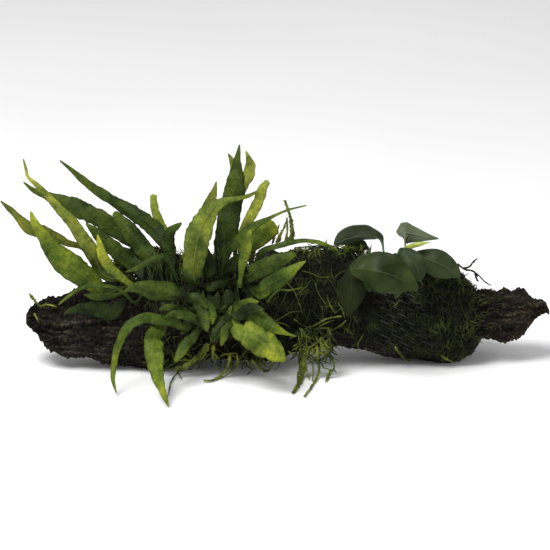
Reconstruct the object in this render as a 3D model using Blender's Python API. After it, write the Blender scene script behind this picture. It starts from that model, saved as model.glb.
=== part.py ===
"""Java fern and anubias growing on a piece of driftwood.

The piece is drawn as it is seen from the front and a little from above. A place
is given in millimetres as (across, up, out): across runs to the right, up is
measured on a drawing plane that leans back by VIEW_TILT, and out comes towards
the front. The function spot turns such a place into a point in space, so the
outline of the piece follows the drawing whatever depth its pieces have.

The log carries everything and rests on its flattened underside. The fern's
leaves stand on a creeping rhizome, the anubias's on a second one.
"""
import math

import bmesh
import bpy
from mathutils import Matrix, Quaternion, Vector, noise

MM = 0.001
VIEW_TILT = math.radians(18.0)
TO_VIEWER = Vector((0.0, -math.cos(VIEW_TILT), math.sin(VIEW_TILT)))
CENTRE_OUT = 9.0            # middle of the whole piece, front to back

# Driftwood. A row is (across, low, high, out, depth): the log's outline on the
# drawing plane, where its middle lies front to back, and how deep it is.
LOG_SIDES = 18
LONGEST_BAY = 12.0          # rings stand no further apart than this
RELIEF = 2.6                # height of the bumps on the wood
LOG_ROWS = (
    (-187.0, 30.0, 37.0, 2.0, 9.0), (-184.0, 27.5, 41.0, 2.0, 18.0),
    (-178.5, 25.5, 44.0, 2.0, 28.0), (-174.5, 15.0, 46.5, 2.0, 34.0),
    (-169.0, 11.0, 48.0, 2.0, 40.0), (-161.0, 9.0, 48.5, 2.0, 44.0),
    (-151.0, 6.5, 56.0, 1.0, 47.0), (-135.0, 4.0, 59.0, 1.0, 50.0),
    (-121.0, 1.0, 61.0, 1.0, 52.0), (-107.0, -1.0, 62.0, 0.0, 54.0),
    (-95.0, -4.5, 63.0, 0.0, 56.0), (-82.0, -4.5, 64.0, 0.0, 57.0),
    (-64.0, 3.0, 66.0, -1.0, 58.0), (-41.0, 4.0, 69.0, -2.0, 60.0),
    (-19.0, 3.0, 73.5, -4.0, 62.0), (0.0, 5.0, 79.5, -5.0, 62.0),
    (17.0, 10.0, 84.0, -7.0, 62.0), (34.0, 12.5, 84.5, -8.0, 62.0),
    (51.0, 13.5, 82.5, -9.0, 62.0), (66.0, 12.5, 82.0, -10.0, 62.0),
    (82.5, 7.0, 82.0, -11.0, 62.0), (107.0, 2.0, 80.0, -13.0, 62.0),
    (122.0, 0.0, 78.0, -14.0, 61.0), (133.0, 0.0, 75.0, -14.0, 60.0),
    (141.0, 2.5, 68.0, -14.0, 56.0), (149.0, 7.2, 59.8, -13.0, 49.5),
    (153.0, 12.5, 56.5, -13.0, 44.0), (156.0, 18.5, 55.5, -13.0, 40.0),
)
BRANCH_SIDES = 14
BRANCH_ROWS = (
    (156.0, 19.0, 56.0, -13.0, 40.0), (162.0, 18.5, 55.5, -12.0, 39.0),
    (167.5, 17.5, 53.0, -12.0, 40.0), (172.5, 15.5, 54.0, -11.0, 42.0),
    (178.0, 17.5, 53.0, -11.0, 40.0), (183.0, 21.5, 55.0, -10.0, 37.0),
    (187.5, 24.5, 55.3, -9.0, 32.0), (191.0, 28.5, 51.0, -8.0, 24.0),
    (195.0, 34.0, 47.0, -8.0, 16.0), (200.5, 38.5, 48.0, -7.0, 11.0),
    (204.0, 39.5, 45.0, -6.0, 7.0), (206.5, 36.5, 40.0, -5.0, 3.0),
)
FORK_LEAN = 0.16            # how much the face between log and branch leans
FORK_GAP = 0.4

# Rhizomes lie on the front shoulder of the log.
FERN_RHIZOME = {"from": -113.0, "to": 2.0, "angle": 52.0, "radius": 3.6}
ANUBIAS_RHIZOME = {"from": 56.0, "to": 113.0, "angle": 62.0, "radius": 3.8}
RHIZOME_CLEARANCE = 1.2     # rhizome to wood
FOOT_GAP = 0.5              # leaf stalk to rhizome
FUSED_DEPTH = 1.6           # how far a fused young leaf reaches into it
STALK_LENGTH = 6.0          # straight stretch of stalk at the rhizome

STEP_LENGTH = 10.5          # a leaf has a row of faces about this often
FEWEST_STEPS = 6
LEAF_THICKNESS = 0.8
STALK_WIDTH = 2.0
TIP_WIDTH = 0.9
FERN_ARCH = 0.12            # how far a blade's halves bend back from its midrib
ANUBIAS_ARCH = 0.25

# Fern leaves. Each has its midrib from tip to base as (across, up, out, width
# of the blade there), its foot on the rhizome (across, angle round it), and how
# far the blade is turned on its midrib, in degrees.
FERN_LEAVES = {
    "fern_leaf_01": ([(-205, 122, 0, 1), (-198, 115.5, 0, 4.5), (-191, 108.5, 0, 6.5),
                      (-184, 102, 1, 9.5), (-174, 98.5, 2, 10.5), (-164, 94.5, 4, 8),
                      (-154, 90, 5, 5.5), (-144, 87, 6, 4), (-124, 74, 8, 3)],
                     (-111, 118), 15),
    "fern_leaf_02": ([(-181, 114, 34, 1.5), (-178, 105, 35, 6), (-172, 96, 35, 9.5),
                      (-165, 85.5, 35, 13.5), (-156, 76.5, 34, 18.5), (-145, 68, 33, 19),
                      (-135, 60, 31, 14), (-127, 52.5, 30, 8)], (-112, 50), 0),
    "fern_leaf_03": ([(-187, 153, 10, 1), (-185, 145, 11, 2.2), (-183.5, 139.5, 12, 2.2),
                      (-177.5, 134, 15, 3.8), (-170, 126.5, 18, 5), (-160, 115.5, 21, 7),
                      (-150, 104.5, 22, 9), (-141.5, 91.5, 22, 10.5), (-133.5, 78, 22, 10.5),
                      (-127, 66, 21, 7)], (-108, 85), 5),
    "fern_leaf_04": ([(-189, 136.5, -28, 1), (-181.5, 130.5, -27, 4), (-172.5, 126.5, -26, 6),
                      (-162.5, 122, -24, 10.5), (-150, 117, -21, 14.5), (-137, 111.5, -17, 13),
                      (-125, 105, -13, 14.5), (-112.5, 96.5, -8, 14), (-101, 87, -1, 10)],
                     (-93, 122), 10),
    "fern_leaf_05": ([(-162, 153, -40, 1), (-153.5, 146, -38, 3.5), (-144.5, 138, -35, 5.5),
                      (-134, 130.5, -32, 7.2), (-123.5, 123.5, -28, 8.5), (-113, 117, -24, 10.5),
                      (-101, 109.5, -18, 13), (-90.5, 101, -12, 12.5), (-83, 91, -5, 9),
                      (-77, 82, 1, 5)], (-70, 118), 10),
    "fern_leaf_06": ([(-92.5, 128, -50, 5.2), (-92, 121, -46, 6.2), (-90, 113, -40, 7.5),
                      (-86, 105, -31, 7.5), (-80, 92, -14, 5)], (-77, 140), 20),
    "fern_leaf_07": ([(-120.5, 114, -6, 4), (-114.5, 106.5, -5, 9.5), (-108.5, 99, -2, 12.5),
                      (-102.5, 91, 1, 14), (-96, 83, 5, 13), (-89, 75, 10, 9)], (-84, 100), 0),
    "fern_leaf_08": ([(-69.5, 105.5, 18, 1.5), (-73, 103, 17, 4.5), (-77.5, 99.5, 14, 7.5),
                      (-79.5, 94, 12, 9.5), (-79, 86.5, 11, 11), (-78, 77.5, 13, 8)],
                     (-77, 88), 10),
    "fern_leaf_09": ([(-131, 96.5, 50, 1), (-129.5, 88.5, 50, 5.5), (-127.5, 81, 50, 7.5),
                      (-123, 73.5, 49, 7.8), (-115.5, 66.5, 47, 6.2), (-108, 60.5, 44, 4.8),
                      (-97, 52.5, 38, 3.2)], (-90, 22), 0),
    "fern_leaf_10": ([(-111.5, 54.5, 58, 1.5), (-106, 57, 57, 5.5), (-99, 57.5, 55, 10),
                      (-92, 55.5, 52, 14), (-82, 54.5, 47, 15.5), (-71, 55, 41, 12)],
                     (-68, 32), 0),
    "fern_leaf_11": ([(-161, 44.5, 44, 1), (-154, 50.5, 44, 2.2), (-144, 57, 43, 2.6),
                      (-133, 58.5, 42, 2.8), (-119, 57.5, 40, 3), (-112, 53.5, 38, 3),
                      (-105, 46.5, 35, 2.6)], (-99, 8), 0),
    "fern_leaf_12": ([(-157, 38, 38, 1.5), (-150, 41, 37, 5), (-141, 42, 36, 9.5),
                      (-131, 41.5, 34, 13), (-121, 39.5, 33.5, 11.5)], (-110, 0), 0),
    "fern_leaf_13": ([(-117.5, -20.5, 76, 1), (-120, -10.5, 72, 3.4), (-119, 1.5, 68, 4.5),
                      (-117.5, 10.5, 66, 5.2), (-114.5, 18, 64, 6), (-111, 25.5, 62, 6.5),
                      (-105, 31.5, 60, 7), (-96, 35, 57, 8.2), (-86, 33.5, 54, 8),
                      (-76, 32, 51, 6.8), (-66, 29.5, 46, 6)], (-54, -32), 0),
    "fern_leaf_14": ([(-78.5, -30, 101, 1), (-80.5, -24.5, 99, 3.6), (-83.5, -17, 96, 6.2),
                      (-86, -9.5, 91.5, 8.8), (-88, -1.5, 86.5, 11.8), (-89, 7.5, 80, 13.8),
                      (-89.5, 16, 73, 14.5), (-88.5, 23, 63, 13.5), (-84.5, 28, 50, 9)],
                     (-75, -12), 0),
    "fern_leaf_15": ([(-74.5, 2, 62, 1.5), (-71, 7.5, 59, 6.2), (-68, 12.5, 56, 8),
                      (-63.5, 18, 51, 8), (-59, 23.5, 46, 6)], (-48, -42), 0),
    "fern_leaf_16": ([(-12.5, 129, 34, 1.5), (-19, 125.5, 38, 3), (-26, 123.5, 41, 3.4),
                      (-34.5, 122, 43, 5), (-42, 119, 44, 8.5), (-48, 113.5, 45, 12.5),
                      (-53, 105.5, 44, 16.5), (-57, 95, 43, 19), (-59, 84, 41, 18.5),
                      (-60.5, 72.5, 38, 15.5), (-59.5, 62, 35, 11)], (-57, 36), 0),
    "fern_leaf_17": ([(-43.5, 136, 22, 1), (-45, 129.5, 22, 4.2), (-47.5, 122.5, 22, 7.8),
                      (-51, 115, 22, 8.4), (-57, 106, 21, 8.4), (-62, 97, 20, 7.5),
                      (-65, 87, 19, 6)], (-64, 92), 10),
    "fern_leaf_18": ([(-26.5, 164, -8, 1), (-27.5, 156.5, -7, 4), (-28.5, 149, -5, 7.2),
                      (-29, 139.5, -3, 12.8), (-30.5, 129, 0, 15.5), (-33, 117, 3, 16.5),
                      (-35, 106.5, 7, 17), (-37, 95.5, 10, 16.5), (-38.5, 85, 13, 13)],
                     (-38, 100), 0),
    "fern_leaf_19": ([(-35, 157.5, -20, 1), (-32, 151.5, -18, 4.5), (-31, 143, -16, 7),
                      (-34, 130, -12, 8.5), (-38, 115, -6, 8.5), (-42, 95, 3, 6)],
                     (-46, 118), 10),
    "fern_leaf_20": ([(-22, 160, -38, 1), (-20, 154.5, -37, 4.2), (-19, 148.5, -35, 8.5),
                      (-20, 142.5, -33, 9.5), (-23, 136, -30, 7.5), (-26.5, 124, -25, 5),
                      (-29, 106, -18, 4), (-30, 88, -6, 3.5)], (-30, 140), 15),
    "fern_leaf_21": ([(-5.2, 137, 12, 4.5), (-9.5, 130.5, 13, 7), (-12, 122.5, 14, 8.2),
                      (-17, 113.5, 15, 8.2), (-21.5, 104, 16, 7.2), (-25.5, 94, 17, 5.5)],
                     (-26, 86), 10),
    "fern_leaf_22": ([(23.5, 118.5, 26, 0.9), (11, 115.5, 27, 1.6), (2, 112, 28, 2.2),
                      (-5, 108.5, 29, 3.2), (-13.5, 104.5, 29.5, 5.2), (-21, 98.5, 30, 8),
                      (-28.5, 91.5, 29.5, 10), (-36.5, 84, 28, 8.5)], (-40, 74), 15),
    "fern_leaf_23": ([(-0.5, 106.5, -4, 15.5), (-6, 101, -2, 15.8), (-12.5, 94.5, 1, 14.5),
                      (-18.5, 87.5, 5, 11.5)], (-17, 112), 0),
    "fern_leaf_24": ([(-18, 100, 60, 1.5), (-19.5, 94.5, 59, 5.2), (-21, 88.5, 58, 7.8),
                      (-22.5, 81, 56, 7.4), (-24.5, 72.5, 54, 5.4), (-25.7, 63.5, 51, 3.4),
                      (-26.5, 57, 47, 3)], (-28, 22), 0),
    "fern_leaf_25": ([(47, 85, 24, 1), (40, 88.5, 25, 2.6), (31, 91.5, 26, 3.2),
                      (19, 92.2, 26, 3.4), (4, 89.2, 26, 4.6), (-10, 84, 27, 5)],
                     (-16, 72), 20),
    "fern_leaf_26": ([(15.5, 82.5, 40, 3), (9.5, 80, 41, 8), (2, 76.5, 41.5, 12),
                      (-5, 73.5, 41.5, 13.5), (-13.5, 70, 41, 13), (-20, 65.5, 38, 9.5)],
                     (-23, 50), 0),
    "fern_leaf_27": ([(22.5, 77, 54, 1), (16.5, 73, 54, 5.5), (9.5, 68, 54, 10),
                      (2, 63, 53, 12), (-5, 59, 51, 12), (-12, 54.5, 47, 11)], (-21, 14), 0),
    "fern_leaf_28": ([(20, 57.5, 62, 0.9), (11, 55.5, 61, 1.8), (3, 55.5, 60, 1.8),
                      (-3, 50.5, 58, 1.8), (-6, 46.5, 50, 1.8)], (-6, -50), 0),
    "fern_leaf_29": ([(7.5, 3, 80, 2), (2, 8, 78, 12.5), (-4, 13, 76, 19),
                      (-12.5, 18.5, 71, 20), (-21.5, 24, 65, 17.5), (-29, 28, 58, 11)],
                     (-38, -38), 0),
    "fern_leaf_30": ([(15.7, 21.2, 66, 1), (9, 23.2, 65, 2.6), (3.7, 25.5, 64.5, 5.6),
                      (-2.2, 28.5, 63.5, 9.5), (-9.7, 33, 61, 11.5), (-18.7, 38, 56, 12),
                      (-26.5, 40.5, 48, 6.5)], (-28, -14), 0),
    "fern_leaf_31": ([(-33.5, 60, 29, 2), (-38, 60.5, 32, 6), (-43, 59.5, 35, 6.5),
                      (-48.5, 57, 35, 6)], (-51, 40), 0),
    "fern_leaf_32": ([(-50, 86.5, 31, 1.5), (-49, 80, 31, 5.5), (-48, 73, 31, 10),
                      (-47.5, 66, 30, 9)], (-46, 62), 0),
    "fern_leaf_33": ([(-86, 41, 60, 1), (-80.5, 43, 58, 4.6), (-74.5, 42.5, 53, 5),
                      (-68, 41, 47, 4.5), (-63, 39, 43, 3.5)], (-59, -6), 0),
    "fern_leaf_34": ([(-111.5, 69, 30, 1), (-103, 71.5, 28, 3.8), (-96, 75.5, 26, 5),
                      (-88, 79, 24, 5.6), (-80, 79, 22, 5)], (-73, 68), 0),
    "fern_leaf_35": ([(-141, 105.5, 12, 1.5), (-131, 96, 12, 9), (-121.5, 87, 12, 12),
                      (-111.5, 79.5, 12, 13), (-103, 73, 13, 10)], (-99, 100), 0),
    "fern_leaf_36": ([(-26, 82, 22, 2.5), (-30.5, 76.5, 23, 8), (-34.5, 69.5, 24, 10)],
                     (-33, 76), 0),
    "fern_leaf_37": ([(-35, 46, -84, 1), (-42, 66, -62, 12), (-49, 76, -34, 14),
                      (-54, 76, -8, 9)], (-54, 140), 0),
    "fern_leaf_38": ([(22, 52, -78, 1), (8, 70, -58, 11), (-4, 80, -32, 13),
                      (-10, 80, -8, 8)], (-10, 132), 0),
}

# Young leaves are too small to be pieces of their own: they grow out of the
# fern's rhizome in one solid with it.
YOUNG_LEAVES = (
    ([(-142, 52, 37, 1), (-133, 50.5, 35, 5.5), (-122, 51, 32, 4)], (-106, 34), 0),
    ([(-14.5, 47.5, 54, 2), (-19, 46.5, 50, 7.5), (-21.5, 45, 44, 5)], (-17, -8), 0),
    ([(-50, 42, 52, 1.5), (-54, 47, 49, 6.5), (-60, 50, 45, 7), (-66, 51, 40, 5)], (-64, 8), 0),
    ([(-48, 31, 54, 1.5), (-53, 35.5, 49, 7), (-59, 38.5, 42, 6)], (-66, -30), 0),
    ([(-47, 17, 52, 1.5), (-44.5, 25, 48, 6), (-43, 33, 43, 4)], (-43, -22), 0),
    ([(-42.5, 54, 46, 1.5), (-43.5, 48, 47, 6.5), (-45, 41, 46, 6)], (-47, -12), 0),
    ([(-36, 56, 42, 3), (-34.5, 50, 43, 8.5), (-35.5, 43, 41, 5)], (-37, 4), 0),
)

# Anubias leaves, written like the fern's but broad and long-stalked.
ANUBIAS_LEAVES = {
    "anubias_leaf_01": ([(44, 89, 4, 2), (48, 91, 3.5, 14), (54, 93.5, 3, 22), (62, 95.5, 1, 25),
                         (70, 96, -1, 21), (77, 94.5, -1, 12), (79.5, 92, -1, 5)], (81, 104), 58),
    "anubias_leaf_02": ([(50, 84, -20, 2), (56, 86, -20, 11), (63, 87.5, -19, 13.5),
                         (69, 88, -17, 9)], (70, 122), 50),
    "anubias_leaf_03": ([(106, 55, 48, 1.5), (101, 59, 51, 13), (94, 63, 53.5, 23),
                         (85, 67, 55, 29), (75, 70, 52, 30), (66, 71.5, 47, 22),
                         (59, 72, 42, 9)], (66, 62), 0),
    "anubias_leaf_04": ([(107.5, 61.5, 38, 1.5), (107, 68, 38, 11), (104, 75, 36, 16),
                         (98, 80.5, 31, 14), (92, 83, 25, 8)], (91, 66), 0),
    "anubias_leaf_05": ([(138, 65, 26, 1.5), (134, 68.5, 26, 11), (128, 72, 26, 18),
                         (120, 76, 24, 20.5), (112, 79, 20, 16), (105, 81.5, 15, 7)],
                        (104, 72), 0),
    "anubias_leaf_06": ([(123, 94, -14, 0.9), (116, 95, -13, 4.5), (109, 96, -11, 9),
                         (103, 97, -9, 14), (98.5, 98, -7, 16.5), (96.5, 97, -6, 10),
                         (97, 93, -4, 2)], (98, 112), 0),
    "anubias_leaf_07": ([(70, 54, 38, 1.5), (70.5, 57.5, 38, 7.5), (71, 61, 38, 11),
                         (72.5, 65, 37, 6)], (74, 12), 0),
    "anubias_leaf_08": ([(90, 49, 36, 1.2), (90.5, 52.5, 37, 6), (91, 56.5, 37, 9),
                         (91, 62, 35, 5)], (87, 12), 0),
    "anubias_leaf_09": ([(53.5, 36, 38, 1.5), (55, 42, 38, 11), (56.5, 49, 38, 18),
                         (57, 57, 37, 22), (57, 64, 35, 18), (56.5, 69, 32, 9)], (58, 22), 0),
}
NEW_LEAF = {"path": [(115, 91, 22), (108.7, 90, 21.5), (102.7, 88.5, 20), (97.5, 86, 17)], "foot": (97, 60),
            "radius": 1.9}

# Moss, roots and net. A cover lies on the wood between two places across and
# two angles round the log; a fringe hangs from the wood to its own hem.
COVERS = {
    "moss_middle": {"across": (3.0, 44.0), "angles": (-38.0, 108.0), "clearance": 1.6,
                    "thickness": 4.0, "steps": (8, 8)},
    "moss_right": {"across": (119.5, 149.5), "angles": (-50.0, 58.0), "clearance": 1.6,
                   "thickness": 3.0, "steps": (6, 7)},
    "net_wrap": {"across": (74.0, 117.5), "angles": (-50.0, 34.0), "clearance": 1.6,
                 "thickness": 1.0, "steps": (6, 7)},
}
FRINGES = {
    "moss_tuft": {"top": [(14, 26, 36), (25, 28, 36), (36, 28, 35), (47, 26, 33)],
                  "hem": [(14, -20, 72), (23, -23, 80), (36, -14, 52), (46, -7, 30)],
                  "thickness": 3.0},
    "fern_roots": {"top": [(-76, 12, 34), (-50, 12, 34), (-24, 12, 34), (-1, 14, 33)],
                   "hem": [(-79, -22, 76), (-53, -12, 46), (-24, -9, 36), (-1, -5, 24)],
                   "thickness": 1.6},
    "moss_spray": {"top": [(3, 122, -12), (7, 123, -12), (11, 121, -12), (13, 112, -12)],
                   "hem": [(-3, 92, -10), (3, 91, -10), (9, 91, -10), (16, 91, -10)],
                   "thickness": 2.0},
}
MOSS_MOUND = {"middle": (-94, 76, -25), "size": (66.0, 20.0, 27.0)}
ANUBIAS_ROOTS = (
    [(137, 75, -9), (142, 71, -6), (147, 70, -4), (152, 67, -2), (158, 61, 0), (162, 59, 1)],
    [(141, 71.5, -6.5), (146, 73, -5), (149, 77, -6), (152, 79, -7)],
)
ROOT_RADIUS = 0.7

WOOD_COLOUR = (0.035, 0.026, 0.018, 1.0)
FERN_COLOUR = (0.10, 0.22, 0.03, 1.0)
RHIZOME_COLOUR = (0.05, 0.07, 0.02, 1.0)
ANUBIAS_COLOUR = (0.035, 0.10, 0.03, 1.0)
NEW_LEAF_COLOUR = (0.30, 0.42, 0.03, 1.0)
MOSS_COLOUR = (0.07, 0.09, 0.015, 1.0)
ROOT_COLOUR = (0.05, 0.05, 0.02, 1.0)
NET_COLOUR = (0.02, 0.02, 0.02, 1.0)


def clear_scene():
    for thing in list(bpy.data.objects):
        bpy.data.objects.remove(thing, do_unlink=True)


def new_collection(name):
    group = bpy.data.collections.new(name)
    bpy.context.scene.collection.children.link(group)
    return group


def finish(colour, name, roughness, metallic=0.0):
    """A plain material with the colour of one piece."""
    material = bpy.data.materials.new(name)
    material.use_nodes = True
    shader = material.node_tree.nodes["Principled BSDF"]
    shader.inputs["Base Color"].default_value = colour
    shader.inputs["Roughness"].default_value = roughness
    shader.inputs["Metallic"].default_value = metallic
    return material


def spot(across, up, out):
    """The point in space of a place on the drawing."""
    height = (up + out * math.sin(VIEW_TILT)) / math.cos(VIEW_TILT)
    return Vector((across, CENTRE_OUT - out, height)) * MM


def blend(low, high, share):
    return low + (high - low) * share


def ease(low, high, value):
    """0 below low, 1 above high, and a smooth rise between them."""
    share = min(max((value - low) / (high - low), 0.0), 1.0)
    return share * share * (3.0 - 2.0 * share)


def smooth_path(points, count):
    """Points along a smooth curve through the given points."""
    ends = [points[0] * 2 - points[1]] + list(points) + [points[-1] * 2 - points[-2]]
    bays = len(points) - 1
    result = []
    for step in range(count):
        place = step / (count - 1) * bays
        bay = min(int(place), bays - 1)
        t = place - bay
        a, b, c, d = ends[bay:bay + 4]
        result.append(0.5 * (2 * b + (c - a) * t + (2 * a - 5 * b + 4 * c - d) * t * t
                             + (3 * b - a - 3 * c + d) * t ** 3))
    return result


def even_path(points, count):
    """The same curve with its points evenly spaced along it."""
    fine = smooth_path(points, 8 * len(points))
    reach = [0.0]
    for before, after in zip(fine, fine[1:]):
        reach.append(reach[-1] + (after - before).xyz.length)
    result = []
    bay = 0
    for step in range(count):
        want = reach[-1] * step / (count - 1)
        while bay < len(fine) - 2 and reach[bay + 1] < want:
            bay += 1
        share = (want - reach[bay]) / (reach[bay + 1] - reach[bay])
        result.append(fine[bay].lerp(fine[bay + 1], share))
    return result


def wood_row(across, rows):
    """Low, high, out and depth of the wood at one place along it."""
    across = min(max(across, rows[0][0]), rows[-1][0])
    for before, after in zip(rows, rows[1:]):
        if across <= after[0]:
            share = (across - before[0]) / (after[0] - before[0])
            return [blend(a, b, share) for a, b in zip(before[1:], after[1:])]
    return list(rows[-1][1:])


def wood_point(across, angle, rows=LOG_ROWS, clearance=0.0):
    """A point on the wood's skin, or clearance away from it.

    The angle is 0 at the front and 90 degrees on top. The section is an oval
    that fills the drawn outline, and the underside is flat where it is lowest.
    """
    low, high, out, depth = wood_row(across, rows)
    half = (high - low) / 2
    flat = depth / 2
    tall = math.sqrt(max(half ** 2 - (flat * math.sin(VIEW_TILT)) ** 2, 1.0))
    tall /= math.cos(VIEW_TILT)
    side, rise = math.cos(angle), math.sin(angle)
    grain = noise.noise(Vector((across * 0.012, side * 2.6, rise * 2.6)))
    knots = noise.noise(Vector((across * 0.06, side * 1.4 + 9.0, rise * 1.4)))
    bump = RELIEF * (grain + knots) * min(1.0, half / 15.0) + clearance
    centre = spot(across, (low + high) / 2, out)
    point = centre + Vector((0.0, -(flat + bump) * side, (tall + bump) * rise)) * MM
    point.z = max(point.z, 0.0)
    return point


def ring_places(rows):
    """Places of the wood's rings: every row, and between rows far apart."""
    places = [rows[0][0]]
    for before, after in zip(rows, rows[1:]):
        count = max(1, math.ceil((after[0] - before[0]) / LONGEST_BAY))
        places += [blend(before[0], after[0], (step + 1) / count) for step in range(count)]
    return places


def object_from(bm, name, material, group):
    """A smooth-shaded object from a bmesh, with its material."""
    mesh = bpy.data.meshes.new(name)
    bm.to_mesh(mesh)
    bm.free()
    mesh.shade_smooth()
    mesh.materials.append(material)
    thing = bpy.data.objects.new(name, mesh)
    group.objects.link(thing)
    return thing


def fork_face(height):
    """Where the leaning face between log and branch stands at one height."""
    return (156.0 + FORK_LEAN * (36.0 - height / MM)) * MM


def make_wood(name, rows, sides, material, group):
    """A log with rings that follow the rows, made from a subdivided cylinder."""
    places = ring_places(rows)
    bm = bmesh.new()
    bmesh.ops.create_cone(bm, cap_ends=True, segments=sides, radius1=1, radius2=1, depth=1)
    long_edges = [e for e in bm.edges if abs(e.verts[0].co.z - e.verts[1].co.z) > 0.5]
    bmesh.ops.subdivide_edges(bm, edges=long_edges, cuts=len(places) - 2)
    for vert in bm.verts:
        ring = round((vert.co.z + 0.5) * (len(places) - 1))
        angle = math.atan2(vert.co.y, vert.co.x)
        vert.co = wood_point(places[ring], angle, rows)
        if rows is LOG_ROWS and ring == len(places) - 1:
            vert.co.x = fork_face(vert.co.z)
        if rows is BRANCH_ROWS and ring == 0:
            vert.co.x = fork_face(vert.co.z) + FORK_GAP * MM
    caps = [face for face in bm.faces if len(face.verts) > 4]
    bmesh.ops.poke(bm, faces=caps)
    bmesh.ops.recalc_face_normals(bm, faces=bm.faces[:])
    return object_from(bm, name, material, group)


def tube(name, points, radius, material, group, radii=None):
    """A closed tube along a list of points in space, as a mesh."""
    curve = bpy.data.curves.new(name, "CURVE")
    curve.dimensions = "3D"
    curve.bevel_depth = radius * MM
    curve.bevel_resolution = 1
    curve.use_fill_caps = True
    spline = curve.splines.new("POLY")
    spline.points.add(len(points) - 1)
    for index, point in enumerate(points):
        spline.points[index].co = (*point, 1.0)
        spline.points[index].radius = radii[index] if radii else 1.0
    drawn = bpy.data.objects.new(name + "_curve", curve)
    group.objects.link(drawn)
    bpy.context.view_layer.update()
    mesh = bpy.data.meshes.new_from_object(drawn.evaluated_get(
        bpy.context.evaluated_depsgraph_get()))
    bpy.data.objects.remove(drawn, do_unlink=True)
    bm = bmesh.new()
    bm.from_mesh(mesh)
    bpy.data.meshes.remove(mesh)
    bmesh.ops.remove_doubles(bm, verts=bm.verts[:], dist=0.00001)
    bmesh.ops.recalc_face_normals(bm, faces=bm.faces[:])
    return object_from(bm, name, material, group)


def rhizome_centre(rhizome, across):
    """A point on the rhizome's middle line, which lies along the log."""
    angle = math.radians(rhizome["angle"])
    return wood_point(across, angle, LOG_ROWS, rhizome["radius"] + RHIZOME_CLEARANCE)


def foot_points(rhizome, foot, gap):
    """The end of a leaf stalk at the rhizome, and a point further out on it."""
    across, angle = foot
    turn = math.radians(angle)
    away = Vector((0.0, -math.cos(turn), math.sin(turn)))
    centre = rhizome_centre(rhizome, across)
    end = centre + away * (rhizome["radius"] + gap) * MM
    return [end + away * STALK_LENGTH * MM, end]


def blade_path(places, rhizome, foot, gap):
    """The midrib's points from tip to foot; w is the blade's width there."""
    points = [Vector((*spot(*place[:3]), place[3] * MM)) for place in places]
    for end in foot_points(rhizome, foot, gap):
        points.append(Vector((*end, STALK_WIDTH * MM)))
    return points


def blade_frames(path, turn):
    """For each point of a midrib: the point, its side and its face direction.

    The side looks across the blade. It faces the viewer where the rib runs
    across the view, and is carried on from its neighbour where it does not.
    """
    frames = []
    side = None
    for index, point in enumerate(path):
        before = path[max(index - 1, 0)]
        after = path[min(index + 1, len(path) - 1)]
        along = (after - before).normalized()
        across_view = along.cross(TO_VIEWER)
        if side is None:
            side = across_view.normalized()
        carried = (side - along * side.dot(along)).normalized()
        share = ease(0.2, 0.55, across_view.length)
        facing = across_view.normalized()
        if facing.dot(carried) < 0:
            facing.negate()
        side = (carried * (1 - share) + facing * share).normalized()
        turned = Quaternion(along, math.radians(turn)) @ side
        frames.append((point, turned, turned.cross(along)))
    return frames


def make_blade(name, row, rhizome, gap, arch, material, group):
    """A leaf with its stalk: a grid bent along its midrib, then thickened."""
    places, foot, turn = row
    points = blade_path(places, rhizome, foot, gap)
    length = sum((b - a).xyz.length for a, b in zip(points, points[1:])) / MM
    steps = max(FEWEST_STEPS, round(length / STEP_LENGTH))
    path = even_path(points, steps + 1)
    frames = blade_frames([point.xyz for point in path], turn)
    bm = bmesh.new()
    bmesh.ops.create_grid(bm, x_segments=steps, y_segments=2, size=1.0)
    for vert in bm.verts:
        step = round((vert.co.x + 1) / 2 * steps)
        point, side, face = frames[step]
        half = max(path[step].w, TIP_WIDTH * MM) / 2
        vert.co = point + side * vert.co.y * half - face * arch * half * abs(vert.co.y)
    bm.normal_update()
    bmesh.ops.solidify(bm, geom=bm.faces[:], thickness=LEAF_THICKNESS * MM)
    bmesh.ops.recalc_face_normals(bm, faces=bm.faces[:])
    return object_from(bm, name, material, group)


def join_solids(target, extras):
    """Unite the extra solids with the target and remove them."""
    for extra in extras:
        union = target.modifiers.new("join", "BOOLEAN")
        union.operation = "UNION"
        union.solver = "EXACT"
        union.object = extra
        bpy.context.view_layer.update()
        mesh = bpy.data.meshes.new_from_object(target.evaluated_get(
            bpy.context.evaluated_depsgraph_get()))
        target.modifiers.remove(union)
        target.data = mesh
        bpy.data.objects.remove(extra, do_unlink=True)
    target.data.shade_smooth()


def make_rhizome(name, rhizome, material, group):
    """A creeping stem along the log's shoulder."""
    count = math.ceil((rhizome["to"] - rhizome["from"]) / 7.0)
    points = []
    radii = []
    for step in range(count + 1):
        share = step / count
        points.append(rhizome_centre(rhizome, blend(rhizome["from"], rhizome["to"], share)))
        radii.append(0.55 if step in (0, count) else 1.0)
    return tube(name, points, rhizome["radius"], material, group, radii)


def make_fern(group):
    green = finish(FERN_COLOUR, "fern_green", 0.5)
    stem_green = finish(RHIZOME_COLOUR, "rhizome_green", 0.7)
    for name, row in FERN_LEAVES.items():
        make_blade(name, row, FERN_RHIZOME, FOOT_GAP, FERN_ARCH, green, group)
    rhizome = make_rhizome("fern_rhizome", FERN_RHIZOME, stem_green, group)
    young = []
    for index, row in enumerate(YOUNG_LEAVES):
        young.append(make_blade(f"young_leaf_{index + 1}", row, FERN_RHIZOME,
                                -FUSED_DEPTH, FERN_ARCH, green, group))
    join_solids(rhizome, young)


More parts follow.
